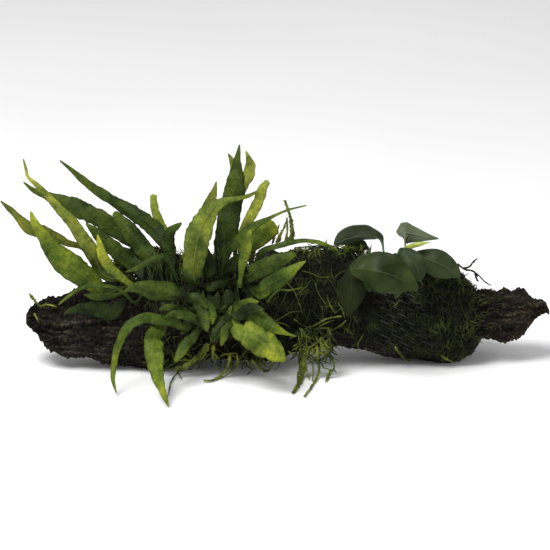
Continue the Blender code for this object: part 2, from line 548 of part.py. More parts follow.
def make_anubias(group):
    green = finish(ANUBIAS_COLOUR, "anubias_green", 0.35)
    stem_green = finish(RHIZOME_COLOUR, "anubias_stem", 0.6)
    for name, row in ANUBIAS_LEAVES.items():
        make_blade(name, row, ANUBIAS_RHIZOME, FOOT_GAP, ANUBIAS_ARCH, green, group)
    make_rhizome("anubias_rhizome", ANUBIAS_RHIZOME, stem_green, group)
    points = [spot(*place) for place in NEW_LEAF["path"]]
    points += foot_points(ANUBIAS_RHIZOME, NEW_LEAF["foot"], FOOT_GAP)
    path = even_path(points, 9)
    radii = [0.35, 0.8, 1.0, 1.0, 0.95, 0.8, 0.65, 0.55, 0.5]
    bright = finish(NEW_LEAF_COLOUR, "new_leaf_green", 0.45)
    tube("anubias_new_leaf", path, NEW_LEAF["radius"], bright, group, radii)


def make_cover(name, cover, material, group):
    """A layer over part of the log: a grid laid on its skin, then thickened."""
    across_steps, round_steps = cover["steps"]
    bm = bmesh.new()
    bmesh.ops.create_grid(bm, x_segments=across_steps, y_segments=round_steps, size=1.0)
    for vert in bm.verts:
        across = blend(*cover["across"], (vert.co.x + 1) / 2)
        angle = math.radians(blend(*cover["angles"], (vert.co.y + 1) / 2))
        vert.co = wood_point(across, angle, LOG_ROWS, cover["clearance"] + cover["thickness"])
    bm.normal_update()
    bmesh.ops.solidify(bm, geom=bm.faces[:], thickness=cover["thickness"] * MM)
    bmesh.ops.recalc_face_normals(bm, faces=bm.faces[:])
    return object_from(bm, name, material, group)


def make_fringe(name, fringe, material, group):
    """A hanging or standing fringe: a grid between two edges, then thickened."""
    steps = 6
    top = even_path([spot(*place) for place in fringe["top"]], steps + 1)
    hem = even_path([spot(*place) for place in fringe["hem"]], steps + 1)
    bm = bmesh.new()
    bmesh.ops.create_grid(bm, x_segments=steps, y_segments=4, size=1.0)
    for vert in bm.verts:
        column = round((vert.co.x + 1) / 2 * steps)
        drop = (vert.co.y + 1) / 2
        vert.co = top[column].lerp(hem[column], drop)
    bm.normal_update()
    bmesh.ops.solidify(bm, geom=bm.faces[:], thickness=fringe["thickness"] * MM)
    bmesh.ops.recalc_face_normals(bm, faces=bm.faces[:])
    return object_from(bm, name, material, group)


def make_mound(material, group):
    """The mossy mound on the log behind the fern."""
    bm = bmesh.new()
    bmesh.ops.create_icosphere(bm, subdivisions=2, radius=0.5)
    size = Matrix.Diagonal((*[side * MM for side in MOSS_MOUND["size"]], 1.0))
    bmesh.ops.transform(bm, matrix=size, verts=bm.verts[:])
    thing = object_from(bm, "moss_mound", material, group)
    thing.location = spot(*MOSS_MOUND["middle"])
    return thing


def make_growth(group):
    moss = finish(MOSS_COLOUR, "moss_green", 0.9)
    net = finish(NET_COLOUR, "net_black", 0.5)
    roots = finish(ROOT_COLOUR, "root_brown", 0.8)
    for name, cover in COVERS.items():
        make_cover(name, cover, net if name == "net_wrap" else moss, group)
    for name, fringe in FRINGES.items():
        make_fringe(name, fringe, roots if name == "fern_roots" else moss, group)
    make_mound(moss, group)
    tubes = []
    for index, places in enumerate(ANUBIAS_ROOTS):
        path = even_path([spot(*place) for place in places], 9)
        name = "anubias_roots" if index == 0 else "side_root"
        tubes.append(tube(name, path, ROOT_RADIUS, roots, group))
    join_solids(tubes[0], tubes[1:])


def main():
    clear_scene()
    group = new_collection("java_fern_on_driftwood")
    wood = finish(WOOD_COLOUR, "driftwood_brown", 0.85)
    make_wood("driftwood_log", LOG_ROWS, LOG_SIDES, wood, group)
    make_wood("driftwood_right_branch", BRANCH_ROWS, BRANCH_SIDES, wood, group)
    make_fern(group)
    make_anubias(group)
    make_growth(group)


main()
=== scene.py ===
# %% [markdown]
# # Java fern and anubias on driftwood
#
# This is a planted piece for an aquarium: a dark bogwood log, a java fern on
# its left half, a small-leaved anubias on its right half, and moss, roots and
# a dark net wound round the wood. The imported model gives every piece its
# place. This script gives them the surface they have close up: leaves with
# ribs and wavy margins, bark, strands of moss and the net's threads.

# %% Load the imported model
import math
import random

import bmesh
import bpy
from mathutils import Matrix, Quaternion, Vector, noise


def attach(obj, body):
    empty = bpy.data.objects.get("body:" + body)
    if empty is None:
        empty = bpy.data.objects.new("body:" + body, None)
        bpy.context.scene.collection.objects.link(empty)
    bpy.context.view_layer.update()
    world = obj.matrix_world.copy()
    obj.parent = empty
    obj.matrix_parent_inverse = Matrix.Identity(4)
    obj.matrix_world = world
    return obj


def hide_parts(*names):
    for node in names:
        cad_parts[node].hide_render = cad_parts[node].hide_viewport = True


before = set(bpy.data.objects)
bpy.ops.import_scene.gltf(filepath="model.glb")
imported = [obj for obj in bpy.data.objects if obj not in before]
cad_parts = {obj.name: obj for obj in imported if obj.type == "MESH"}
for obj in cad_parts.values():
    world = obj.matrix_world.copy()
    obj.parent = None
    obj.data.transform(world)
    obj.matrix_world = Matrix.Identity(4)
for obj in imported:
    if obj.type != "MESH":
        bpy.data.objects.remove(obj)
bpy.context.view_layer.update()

# %% [markdown]
# ## How places are written
#
# The piece is drawn as it is seen from the front and 18 degrees above. A place
# is (across, up, out) in millimetres: across to the right, up on a drawing
# plane that leans back, and out towards the front. With this the outline
# follows the drawing, and depth can be chosen freely for each leaf. It is the
# same layout that the solids were made with.

# %% Layout on the drawing
MM = 0.001
VIEW_TILT = math.radians(18.0)
TO_VIEWER = Vector((0.0, -math.cos(VIEW_TILT), math.sin(VIEW_TILT)))
CENTRE_OUT = 9.0             # a place with out 0 lies this far behind the origin


def spot(across, up, out):
    """The point in space of a place on the drawing."""
    height = (up + out * math.sin(VIEW_TILT)) / math.cos(VIEW_TILT)
    return Vector((across, CENTRE_OUT - out, height)) * MM


def drawn(point):
    """The place on the drawing (across, up, out) of a point in space."""
    out = CENTRE_OUT - point.y / MM
    return (point.x / MM, point.z / MM * math.cos(VIEW_TILT) - out * math.sin(VIEW_TILT), out)


def blend(low, high, share):
    return low + (high - low) * share


def ease(low, high, value):
    """0 below low, 1 above high, and a smooth rise between them."""
    share = min(max((value - low) / (high - low), 0.0), 1.0)
    return share * share * (3.0 - 2.0 * share)


print("the drawing's middle is at", [round(c, 3) for c in spot(0, 66, 0)])

# %% [markdown]
# ## Smooth paths
#
# A midrib, a root or a stalk is given by a few points. A smooth curve through
# them, cut into even steps, gives the many points that a mesh needs. This is
# better than straight runs, which would look like bent wire.

# %% Paths through a few points
def smooth_path(points, count):
    """Points along a smooth curve through the given points."""
    ends = [points[0] * 2 - points[1]] + list(points) + [points[-1] * 2 - points[-2]]
    bays = len(points) - 1
    result = []
    for step in range(count):
        place = step / (count - 1) * bays
        bay = min(int(place), bays - 1)
        t = place - bay
        a, b, c, d = ends[bay:bay + 4]
        result.append(0.5 * (2 * b + (c - a) * t + (2 * a - 5 * b + 4 * c - d) * t * t
                             + (3 * b - a - 3 * c + d) * t ** 3))
    return result


FINE_STEPS = 8               # short steps for each given point, to measure a curve with


def even_path(points, count):
    """The same curve with its points evenly spaced along it."""
    fine = smooth_path(points, FINE_STEPS * len(points))
    reach = [0.0]
    for before, after in zip(fine, fine[1:]):
        reach.append(reach[-1] + (after - before).xyz.length)
    result = []
    bay = 0
    for step in range(count):
        want = reach[-1] * step / (count - 1)
        while bay < len(fine) - 2 and reach[bay + 1] < want:
            bay += 1
        share = (want - reach[bay]) / (reach[bay + 1] - reach[bay])
        result.append(fine[bay].lerp(fine[bay + 1], share))
    return result


print("a test path has", len(even_path([spot(0, 0, 0), spot(9, 5, 0)], 7)), "points")

# %% [markdown]
# ## The wood's form
#
# Driftwood is a weathered branch: its outline is irregular, its section is
# roughly oval, and it rests on a flattened underside. The rows below give its
# outline on the drawing (low and high), where its middle lies front to back
# and how deep it is. Everything that grows on the wood uses the same function
# to find the wood's skin, so moss and roots lie on it and not in it.

# %% Wood outline and skin
RELIEF = 2.6                 # height of the wood's broad bumps
LOG_ROWS = (
    (-187.0, 30.0, 37.0, 2.0, 9.0), (-184.0, 27.5, 41.0, 2.0, 18.0),
    (-178.5, 25.5, 44.0, 2.0, 28.0), (-174.5, 15.0, 46.5, 2.0, 34.0),
    (-169.0, 11.0, 48.0, 2.0, 40.0), (-161.0, 9.0, 48.5, 2.0, 44.0),
    (-151.0, 6.5, 56.0, 1.0, 47.0), (-135.0, 4.0, 59.0, 1.0, 50.0),
    (-121.0, 1.0, 61.0, 1.0, 52.0), (-107.0, -1.0, 62.0, 0.0, 54.0),
    (-95.0, -4.5, 63.0, 0.0, 56.0), (-82.0, -4.5, 64.0, 0.0, 57.0),
    (-64.0, 3.0, 66.0, -1.0, 58.0), (-41.0, 4.0, 69.0, -2.0, 60.0),
    (-19.0, 3.0, 73.5, -4.0, 62.0), (0.0, 5.0, 79.5, -5.0, 62.0),
    (17.0, 10.0, 84.0, -7.0, 62.0), (34.0, 12.5, 84.5, -8.0, 62.0),
    (51.0, 13.5, 82.5, -9.0, 62.0), (66.0, 12.5, 82.0, -10.0, 62.0),
    (82.5, 7.0, 82.0, -11.0, 62.0), (107.0, 2.0, 80.0, -13.0, 62.0),
    (122.0, 0.0, 78.0, -14.0, 61.0), (133.0, 0.0, 75.0, -14.0, 60.0),
    (141.0, 2.5, 68.0, -14.0, 56.0), (149.0, 7.2, 59.8, -13.0, 49.5),
    (153.0, 12.5, 56.5, -13.0, 44.0), (156.0, 18.5, 55.5, -13.0, 40.0),
)
BRANCH_ROWS = (
    (156.0, 19.0, 56.0, -13.0, 40.0), (162.0, 18.5, 55.5, -12.0, 39.0),
    (167.5, 17.5, 53.0, -12.0, 40.0), (172.5, 15.5, 54.0, -11.0, 42.0),
    (178.0, 17.5, 53.0, -11.0, 40.0), (183.0, 21.5, 55.0, -10.0, 37.0),
    (187.5, 24.5, 55.3, -9.0, 32.0), (191.0, 28.5, 51.0, -8.0, 24.0),
    (195.0, 34.0, 47.0, -8.0, 16.0), (200.5, 38.5, 48.0, -7.0, 11.0),
    (204.0, 39.5, 45.0, -6.0, 7.0), (206.5, 36.5, 40.0, -5.0, 3.0),
)
FORK_ACROSS = LOG_ROWS[-1][0]
FORK_MIDDLE = 36.0           # height at which the fork stands at that place
FORK_LEAN = 0.16
THIN_WOOD = 15.0             # where the wood is thinner than this, its bumps are lower


def wood_row(across, rows):
    """Low, high, out and depth of the wood at one place along it."""
    across = min(max(across, rows[0][0]), rows[-1][0])
    for before, after in zip(rows, rows[1:]):
        if across <= after[0]:
            share = (across - before[0]) / (after[0] - before[0])
            return [blend(a, b, share) for a, b in zip(before[1:], after[1:])]
    return list(rows[-1][1:])


def skin_noise(across, angle, along, about, shift=(0.0, 0.0, 0.0)):
    """Smooth noise on the wood's skin, with its pace along the log and round it."""
    place = (across * along, math.cos(angle) * about, math.sin(angle) * about)
    return noise.noise(Vector([a + b for a, b in zip(place, shift)]))


def wood_point(across, angle, rows=LOG_ROWS, clearance=0.0):
    """A point on the wood's skin, or clearance away from it (angle 0 is the front)."""
    low, high, out, depth = wood_row(across, rows)
    half = (high - low) / 2
    flat = depth / 2
    tall = math.sqrt(max(half ** 2 - (flat * math.sin(VIEW_TILT)) ** 2, 1.0))
    tall /= math.cos(VIEW_TILT)
    grain = skin_noise(across, angle, 0.012, 2.6)
    knots = skin_noise(across, angle, 0.06, 1.4, (0.0, 9.0, 0.0))
    bump = RELIEF * (grain + knots) * min(1.0, half / THIN_WOOD) + clearance
    centre = spot(across, (low + high) / 2, out)
    side, rise = math.cos(angle), math.sin(angle)
    point = centre + Vector((0.0, -(flat + bump) * side, (tall + bump) * rise)) * MM
    point.z = max(point.z, 0.0)
    return point


print("the wood runs from", LOG_ROWS[0][0], "to", BRANCH_ROWS[-1][0], "mm")

# %% [markdown]
# ## Building finishes
#
# Every finish starts from one Principled shader. Its colour comes from a few
# nodes: a noise field that follows the object, a colour ramp, and a mix. These
# helpers keep each finish short. The patterns read Object coordinates, or the
# leaf's own UV map where they must follow the leaf.

# %% Helpers for finishes
def start_finish(name, roughness, specular):
    """A new material: its node tree and its Principled shader."""
    material = bpy.data.materials.new(name)
    material.use_nodes = True
    shader = material.node_tree.nodes["Principled BSDF"]
    shader.inputs["Roughness"].default_value = roughness
    shader.inputs["Specular IOR Level"].default_value = specular
    return material, material.node_tree, shader


EVEN = (1.0, 1.0, 1.0)


def noise_field(tree, scale, stretch=EVEN, detail=6.0):
    """Smooth random values that follow the object."""
    coords = tree.nodes.new("ShaderNodeTexCoord")
    place = tree.nodes.new("ShaderNodeMapping")
    place.inputs["Scale"].default_value = stretch
    field = tree.nodes.new("ShaderNodeTexNoise")
    field.inputs["Scale"].default_value = scale
    field.inputs["Detail"].default_value = detail
    tree.links.new(coords.outputs["Object"], place.inputs["Vector"])
    tree.links.new(place.outputs["Vector"], field.inputs["Vector"])
    return field.outputs[0]


def ramp(tree, value, stops):
    """Colours along a value, as (place, colour) stops."""
    node = tree.nodes.new("ShaderNodeValToRGB")
    while len(node.color_ramp.elements) < len(stops):
        node.color_ramp.elements.new(0.5)
    for element, (place, colour) in zip(node.color_ramp.elements, stops):
        element.position = place
        element.color = (*colour, 1.0)
    tree.links.new(value, node.inputs["Fac"])
    return node.outputs["Color"]


def mix(tree, share, first, second, kind="MIX"):
    """One colour laid over another; share is a number or another node's output."""
    node = tree.nodes.new("ShaderNodeMix")
    node.data_type = "RGBA"
    node.blend_type = kind
    if isinstance(share, (int, float)):
        node.inputs[0].default_value = share
    else:
        tree.links.new(share, node.inputs[0])
    for socket, colour in ((node.inputs[6], first), (node.inputs[7], second)):
        if isinstance(colour, tuple):
            socket.default_value = (*colour, 1.0)
        else:
            tree.links.new(colour, socket)
    return node.outputs[2]


def calc(tree, operation, first, second=0.0):
    """One step of arithmetic between outputs or numbers."""
    node = tree.nodes.new("ShaderNodeMath")
    node.operation = operation
    for socket, value in zip(node.inputs, (first, second)):
        if isinstance(value, (int, float)):
            socket.default_value = value
        else:
            tree.links.new(value, socket)
    return node.outputs[0]


def add_bump(tree, shader, height, strength, distance):
    """Small relief in the shading."""
    node = tree.nodes.new("ShaderNodeBump")
    node.inputs["Strength"].default_value = strength
    node.inputs["Distance"].default_value = distance
    tree.links.new(height, node.inputs["Height"])
    tree.links.new(node.outputs["Normal"], shader.inputs["Normal"])


def noise_finish(name, roughness, specular, pattern, stops, relief=None):
    """A finish with one noise pattern (scale, stretch, detail) through a ramp as its colour."""
    material, tree, shader = start_finish(name, roughness, specular)
    field = noise_field(tree, *pattern)
    tree.links.new(ramp(tree, field, stops), shader.inputs["Base Color"])
    if relief:
        add_bump(tree, shader, field, *relief)
    return material


def leaf_map(tree):
    """A leaf's own map, the place along the leaf and the distance from its midrib."""
    coords = tree.nodes.new("ShaderNodeTexCoord")
    parts = tree.nodes.new("ShaderNodeSeparateXYZ")
    tree.links.new(coords.outputs["UV"], parts.inputs["Vector"])
    from_rib = calc(tree, "ABSOLUTE", calc(tree, "SUBTRACT", parts.outputs["X"], 0.5))
    return coords.outputs["UV"], parts.outputs["Y"], from_rib


BLACK = (0.0, 0.0, 0.0)
WHITE = (1.0, 1.0, 1.0)
print("finish helpers are ready")

# %% [markdown]
# ## Driftwood finish
#
# Wet bogwood is almost black, with grey-brown fibres where the surface is worn
# and a rusty brown in some hollows. Long noise, stretched along the log, makes
# the fibres. A second, rounder noise decides where the wood is worn.

# %% Driftwood finish
def wood_finish():
    material, tree, shader = start_finish("bogwood", 0.62, 0.08)
    fibres = noise_field(tree, 300.0, (0.16, 1.0, 1.0), 9.0)
    crumbs = noise_field(tree, 640.0, (0.8, 1.0, 1.0), 4.0)
    worn = noise_field(tree, 30.0, (0.6, 1.0, 1.0), 6.0)
    rust = noise_field(tree, 18.0, (0.5, 1.0, 1.0), 4.0)
    dark = ramp(tree, fibres, ((0.34, (0.0015, 0.0012, 0.0009)), (0.54, (0.0086, 0.0072, 0.0050)),
                               (0.70, (0.0380, 0.0310, 0.0205))))
    pale = ramp(tree, fibres, ((0.34, (0.0040, 0.0030, 0.0022)), (0.54, (0.0195, 0.0172, 0.0118)),
                               (0.72, (0.0820, 0.0730, 0.0500))))
    brown = ramp(tree, fibres, ((0.30, (0.0040, 0.0018, 0.0010)), (0.72, (0.0520, 0.0270, 0.0130))))
    body = mix(tree, ramp(tree, worn, ((0.48, BLACK), (0.62, WHITE))), dark, pale)
    body = mix(tree, ramp(tree, rust, ((0.56, BLACK), (0.70, (0.6, 0.6, 0.6)))), body, brown)
    # pale specks over the dark wood: partly crumbs of the wood, partly painted glints of its wet
    # surface
    crumbs_and_glints = ramp(tree, crumbs, ((0.38, (0.15, 0.15, 0.15)), (0.54, WHITE), (0.67, (2.8, 2.6, 2.2))))
    body = mix(tree, 0.85, body, crumbs_and_glints, "MULTIPLY")
    tree.links.new(body, shader.inputs["Base Color"])
    relief = calc(tree, "ADD", fibres, calc(tree, "MULTIPLY", crumbs, 0.7))
    add_bump(tree, shader, relief, 1.0, 0.0018)
    return material


BOGWOOD = wood_finish()
print("made", BOGWOOD.name)

# %% [markdown]
# ## The driftwood
#
# A branch could be sculpted, but its form is already given by rows of outline.
# So a cylinder is cut into many rings, each ring is laid on the wood's skin,
# and ridges, cracks and crumbs are added on top. The ridges run along the log,
# as weathered fibres do, and grow deeper towards the broken ends.

# %% Bark relief
RIDGE_HEIGHT = 1.3
LUMP_HEIGHT = 1.3
CRUMB_HEIGHT = 1.2
GRIT_HEIGHT = 0.7
CRACK_DEPTH = 2.2
CRACK_SHARPNESS = 9.0
RIGHT_END = (150.0, 175.0)   # the relief grows between these places, towards each broken end
LEFT_END = (-150.0, -175.0)
ROUGH_LEFT = (-95.0, -140.0)
TWIST_FROM, TWIST = 140.0, 0.10


def bark(across, angle):
    """Height of the fine relief in millimetres: ridges, cracks and crumbs."""
    slope = TWIST * max(0.0, across - TWIST_FROM)
    ridges = skin_noise(across, angle, 0.035, 7.0, (0.0, 0.0, slope))
    lumps = skin_noise(across, angle, 0.13, 3.0, (0.0, 4.0, 0.0))
    crumbs = skin_noise(across, angle, 0.45, 11.0, (0.0, 0.0, 7.0))
    grit = skin_noise(across, angle, 0.95, 24.0, (0.0, 0.0, 3.0))
    line = abs(skin_noise(across, angle, 0.022, 4.5, (3.0, 0.0, 0.0)))
    crack = max(0.0, 1.0 - line * CRACK_SHARPNESS) ** 2
    ends = 1.0 + 0.4 * ease(*RIGHT_END, across) + 0.9 * ease(*LEFT_END, across)
    rough = CRUMB_HEIGHT + 0.8 * ease(*ROUGH_LEFT, across)
    return ends * (RIDGE_HEIGHT * ridges + LUMP_HEIGHT * lumps + rough * crumbs
                   + GRIT_HEIGHT * grit - CRACK_DEPTH * crack)


CLOSING = 4.0                # the relief fades over this length before each end
FORK_GAP = 2.0               # the log keeps this far from the fork's face
FORK_PRESS = 0.8


def fork_face(height):
    """Where the leaning face between log and branch stands at one height."""
    return (FORK_ACROSS + FORK_LEAN * (FORK_MIDDLE - height / MM)) * MM


def make_wood(rows, sides, rings, start_inside=0.0):
    """A log laid on the rows, made from a cylinder with many rings."""
    bm = bmesh.new()
    bmesh.ops.create_cone(bm, cap_ends=True, segments=sides, radius1=1, radius2=1, depth=1)
    long_edges = [e for e in bm.edges if abs(e.verts[0].co.z - e.verts[1].co.z) > 0.5]
    bmesh.ops.subdivide_edges(bm, edges=long_edges, cuts=rings - 2)
    first, last = rows[0][0] - start_inside, rows[-1][0]
    for vert in bm.verts:
        share = vert.co.z + 0.5
        across = blend(first, last, share)
        angle = math.atan2(vert.co.y, vert.co.x)
        closing = min(1.0, (last - across) / CLOSING,
                      (across - first) / CLOSING + start_inside)
        vert.co = wood_point(across, angle, rows, bark(across, angle) * closing)
        if across < rows[0][0]:
            vert.co.x = across * MM
    caps = [face for face in bm.faces if len(face.verts) > 4]
    bmesh.ops.poke(bm, faces=caps)
    if rows is LOG_ROWS:
        for vert in bm.verts:
            past = vert.co.x - fork_face(vert.co.z) + FORK_GAP * MM
            if past > 0.0:
                vert.co.x -= past * FORK_PRESS
    bmesh.ops.recalc_face_normals(bm, faces=bm.faces[:])
    return bm


def place_piece(bm, name, material, nodes):
    """Make the object, give it its finish, hang it on the root and hide the solids that it stands
    for.
    """
    mesh = bpy.data.meshes.new(name)
    bm.to_mesh(mesh)
    bm.free()
    mesh.shade_smooth()
    mesh.materials.append(material)
    piece = bpy.data.objects.new(name, mesh)
    bpy.context.scene.collection.objects.link(piece)
    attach(piece, "root")
    if nodes:
        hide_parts(*nodes)
    return piece


print("the fork's face stands at", round(fork_face(0.0), 3), "on the ground")

# %% The log and its branch
BRANCH_ROOT = 8.0            # how far the branch starts inside the log
log = place_piece(make_wood(LOG_ROWS, sides=120, rings=350),
                  "bogwood_log", BOGWOOD, ["driftwood_log"])
branch = place_piece(make_wood(BRANCH_ROWS, sides=100, rings=100, start_inside=BRANCH_ROOT),
                     "bogwood_branch", BOGWOOD, ["driftwood_right_branch"])
print("log faces:", len(log.data.polygons), "branch faces:", len(branch.data.polygons))

# %% [markdown]
# ## Fern leaf finishes
#
# A java fern leaf is semi-matte and thin. Old leaves are deep green and young
# ones yellow-green. Each leaf's tone holds the light on it as well: the shade
# tone is painted shade for leaves in shadow, the lit tone painted light, and
# the turned tone has a middle painted lighter where it catches the light and
# a tip painted darker where it curves into shade. All of them darken towards
# the stalk and the margins, painted shade of the crowded crown and of the
# blade curving away. The leaf's UV map runs from the tip (0) to the foot (1)
# and from margin to margin, so a ramp along it gives the change of colour, and
# a narrow line in its middle the pale midrib. Mottling follows the object, so
# no two leaves look alike.

# %% Fern tones
# shade is painted shade and lit is painted light; turned has a painted highlight on its middle and
# painted shade at its tip
FERN_TONES = {
    "shade": ((0.026, 0.040, 0.008), (0.013, 0.023, 0.005), (0.003, 0.006, 0.002)),
    "deep": ((0.060, 0.088, 0.013), (0.030, 0.050, 0.008), (0.005, 0.010, 0.003)),
    "mid": ((0.115, 0.155, 0.018), (0.045, 0.073, 0.010), (0.008, 0.015, 0.004)),
    "fresh": ((0.190, 0.225, 0.022), (0.074, 0.108, 0.012), (0.012, 0.022, 0.004)),
    "olive": ((0.120, 0.140, 0.022), (0.070, 0.088, 0.014), (0.016, 0.026, 0.006)),
    "turned": ((0.068, 0.094, 0.016), (0.118, 0.152, 0.024), (0.026, 0.042, 0.008)),
    "lit": ((0.175, 0.205, 0.020), (0.102, 0.138, 0.017), (0.012, 0.024, 0.005)),
    "light": ((0.235, 0.260, 0.038), (0.128, 0.156, 0.024), (0.024, 0.037, 0.006)),
    "lime": ((0.340, 0.365, 0.036), (0.100, 0.135, 0.016), (0.012, 0.022, 0.004)),
}


MOTTLING = (
    # scale, detail, share, and the factors along the noise
    (62.0, 6.0, 1.0, ((0.32, (0.34, 0.42, 0.36)), (0.5, WHITE), (0.68, (1.7, 1.5, 1.1)))),
    (240.0, 5.0, 0.55, ((0.36, (0.60, 0.66, 0.58)), (0.5, WHITE), (0.64, (1.40, 1.32, 1.10)))),
    (560.0, 3.0, 0.5, ((0.36, (0.45, 0.5, 0.4)), (0.58, WHITE))),
)
FERN_ROUGHNESS = 0.55
FERN_SPECULAR = 0.08
RIB_SHARE = 0.28


def leaf_finish(tone, colours):
    """One fern finish from its colours at the tip, the middle and the stalk."""
    tip, middle, stalk = colours
    material, tree, shader = start_finish("fern_" + tone, FERN_ROUGHNESS, FERN_SPECULAR)
    own_map, along, from_rib = leaf_map(tree)
    # darker towards the stalk: painted shade of the crowded crown
    body = ramp(tree, along, ((0.0, tip), (0.30, middle), (0.58, middle), (0.86, stalk)))
    for scale, detail, share, stops in MOTTLING:
        field = noise_field(tree, scale, detail=detail)
        body = mix(tree, share, body, ramp(tree, field, stops), "MULTIPLY")
    # margins mixed towards the dark stalk colour: painted shade where the blade curves away from the
    # light
    edge = ramp(tree, from_rib, ((0.36, BLACK), (0.5, (0.35, 0.35, 0.35))))
    body = mix(tree, edge, body, stalk)
    rib = ramp(tree, from_rib, ((0.0, (RIB_SHARE,) * 3), (0.05, BLACK)))
    body = mix(tree, rib, body, tuple(min(1.0, c * 1.5 + 0.008) for c in middle))
    tree.links.new(body, shader.inputs["Base Color"])
    veins = tree.nodes.new("ShaderNodeTexWave")
    veins.bands_direction = "Y"
    veins.inputs["Scale"].default_value = 7.0
    veins.inputs["Distortion"].default_value = 4.0
    veins.inputs["Detail"].default_value = 3.0
    tree.links.new(own_map, veins.inputs["Vector"])
    relief = calc(tree, "ADD", calc(tree, "MULTIPLY", veins.outputs["Fac"], 0.7), field)
    add_bump(tree, shader, relief, 0.5, 0.0005)
    return material


FERN = {tone: leaf_finish(tone, colours) for tone, colours in FERN_TONES.items()}
print("fern finishes:", ", ".join(FERN))

# %% [markdown]
# ## Leaves on their midribs
#
# A blade could be drawn flat and bent, but its midrib is known from tip to
# foot. So a fine grid is laid along the midrib: each row of the grid takes its
# place, its sideways direction and its width from there. The margins get a
# ruffle, the blade a slight fold, and solidify gives it its thickness. The
# midrib itself is a tapered tube on the blade's back.

# %% Rhizomes and stalks
FERN_RHIZOME = {"from": -113.0, "to": 2.0, "angle": 52.0, "radius": 3.6}
ANUBIAS_RHIZOME = {"from": 56.0, "to": 113.0, "angle": 62.0, "radius": 3.8}
RHIZOME_CLEARANCE = 1.2
STALK_LENGTH = 6.0


def rhizome_centre(rhizome, across):
    """A point on the rhizome's middle line, which lies along the log."""
    angle = math.radians(rhizome["angle"])
    return wood_point(across, angle, LOG_ROWS, rhizome["radius"] + RHIZOME_CLEARANCE)


def foot_points(rhizome, foot, sunk=1.0):
    """The end of a leaf stalk in the rhizome, and a point further out on it."""
    across, angle = foot
    turn = math.radians(angle)
    away = Vector((0.0, -math.cos(turn), math.sin(turn)))
    end = rhizome_centre(rhizome, across) + away * (rhizome["radius"] - sunk) * MM
    return [end + away * (STALK_LENGTH + sunk) * MM, end]


print("fern rhizome starts at", [round(c, 3) for c in rhizome_centre(FERN_RHIZOME, -113.0)])

# %% Frames along a midrib
TIP_WIDTH = 0.7
STALK_WIDTH = 1.8


def blade_frames(path, turn):
    """For each point of a midrib: the point, its side and its face direction."""
    frames = []
    side = None
    for index, point in enumerate(path):
        before = path[max(index - 1, 0)]
        after = path[min(index + 1, len(path) - 1)]
        along = (after - before).normalized()
        across_view = along.cross(TO_VIEWER)
        if side is None:
            side = across_view.normalized()
        carried = (side - along * side.dot(along)).normalized()
        share = ease(0.2, 0.55, across_view.length)
        facing = across_view.normalized()
        if facing.dot(carried) < 0:
            facing.negate()
        side = (carried * (1 - share) + facing * share).normalized()
        turned = Quaternion(along, math.radians(turn)) @ side
        frames.append((point, turned, turned.cross(along)))
    return frames


print("stalks are", STALK_WIDTH, "mm wide")

# %% Tubes from paths
TRIANGLE_REACH = 1.2 * MM    # a triangle looks as thick as a round strand at this reach


def three_sided():
    """A small triangle, the section of strands that are too thin for more sides."""
    outline = bpy.data.curves.new("triangle", "CURVE")
    corners = outline.splines.new("POLY")
    corners.points.add(2)
    for index, corner in enumerate(corners.points):
        turn = index * math.tau / 3
        corner.co = (math.cos(turn) * TRIANGLE_REACH, math.sin(turn) * TRIANGLE_REACH, 0.0, 1.0)
    corners.use_cyclic_u = True
    return bpy.data.objects.new("triangle", outline)


def tube_bundle(strands, sides_level=0, profile=None):
    """One mesh of many tapered tubes. A strand is (points, radii in millimetres)."""
    curve = bpy.data.curves.new("strands", "CURVE")
    curve.dimensions = "3D"
    curve.use_fill_caps = True
    if profile:
        curve.bevel_mode = "OBJECT"
        curve.bevel_object = profile
    else:
        curve.bevel_depth = MM
        curve.bevel_resolution = sides_level
    for points, radii in strands:
        spline = curve.splines.new("POLY")
        spline.points.add(len(points) - 1)
        for index, point in enumerate(points):
            spline.points[index].co = (*point, 1.0)
            spline.points[index].radius = radii[index]
    drawn = bpy.data.objects.new("strands", curve)
    bpy.context.scene.collection.objects.link(drawn)
    bpy.context.view_layer.update()
    mesh = bpy.data.meshes.new_from_object(
        drawn.evaluated_get(bpy.context.evaluated_depsgraph_get()))
    bpy.data.objects.remove(drawn, do_unlink=True)
    bpy.data.curves.remove(curve)
    return mesh


WELD = 0.01 * MM             # points closer than this become one


def as_bmesh(mesh, weld=False):
    """Take a mesh over into a bmesh, and drop the mesh."""
    bm = bmesh.new()
    bm.from_mesh(mesh)
    bpy.data.meshes.remove(mesh)
    if weld:
        bmesh.ops.remove_doubles(bm, verts=bm.verts[:], dist=WELD)
    return bm


def taper(count, thick, thin):
    """Radii that shrink evenly from one end of a strand to the other."""
    return [blend(thick, thin, step / (count - 1)) for step in range(count)]


triangle = three_sided()
test_strand = tube_bundle([([spot(0, 0, 0), spot(5, 0, 0)], [1.0, 0.5])], profile=triangle)
print("a plain strand has", len(test_strand.polygons), "faces")
bpy.data.meshes.remove(test_strand)

# %% One leaf
BLADE_THICKNESS = 0.35
ROW_LENGTH = 1.05            # a blade has a row of faces about this often
FEWEST_ROWS = 24
TIP_ROUNDING = 2.2           # a larger value makes tips blunter
NARROW_BLADE = 3.0           # margins are drawn in less where half a blade is narrower
SWAY = 0.30                  # slow bending of the whole blade, as a share of its half width
SWAY_LENGTH = 22.0
RIB_TIP = 0.12               # the midrib's radius at the leaf's tip


def scallop(reach, seed, edge, wave):
    """How far a margin is drawn in at one place along it, as a share of the half width."""
    notch = abs(noise.noise(Vector((reach / wave, seed * 3.7, edge))))
    drift = noise.noise(Vector((reach / 11.0, seed * 1.3 + 5.0, edge)))
    return 0.05 - 0.26 * notch + 0.14 * drift


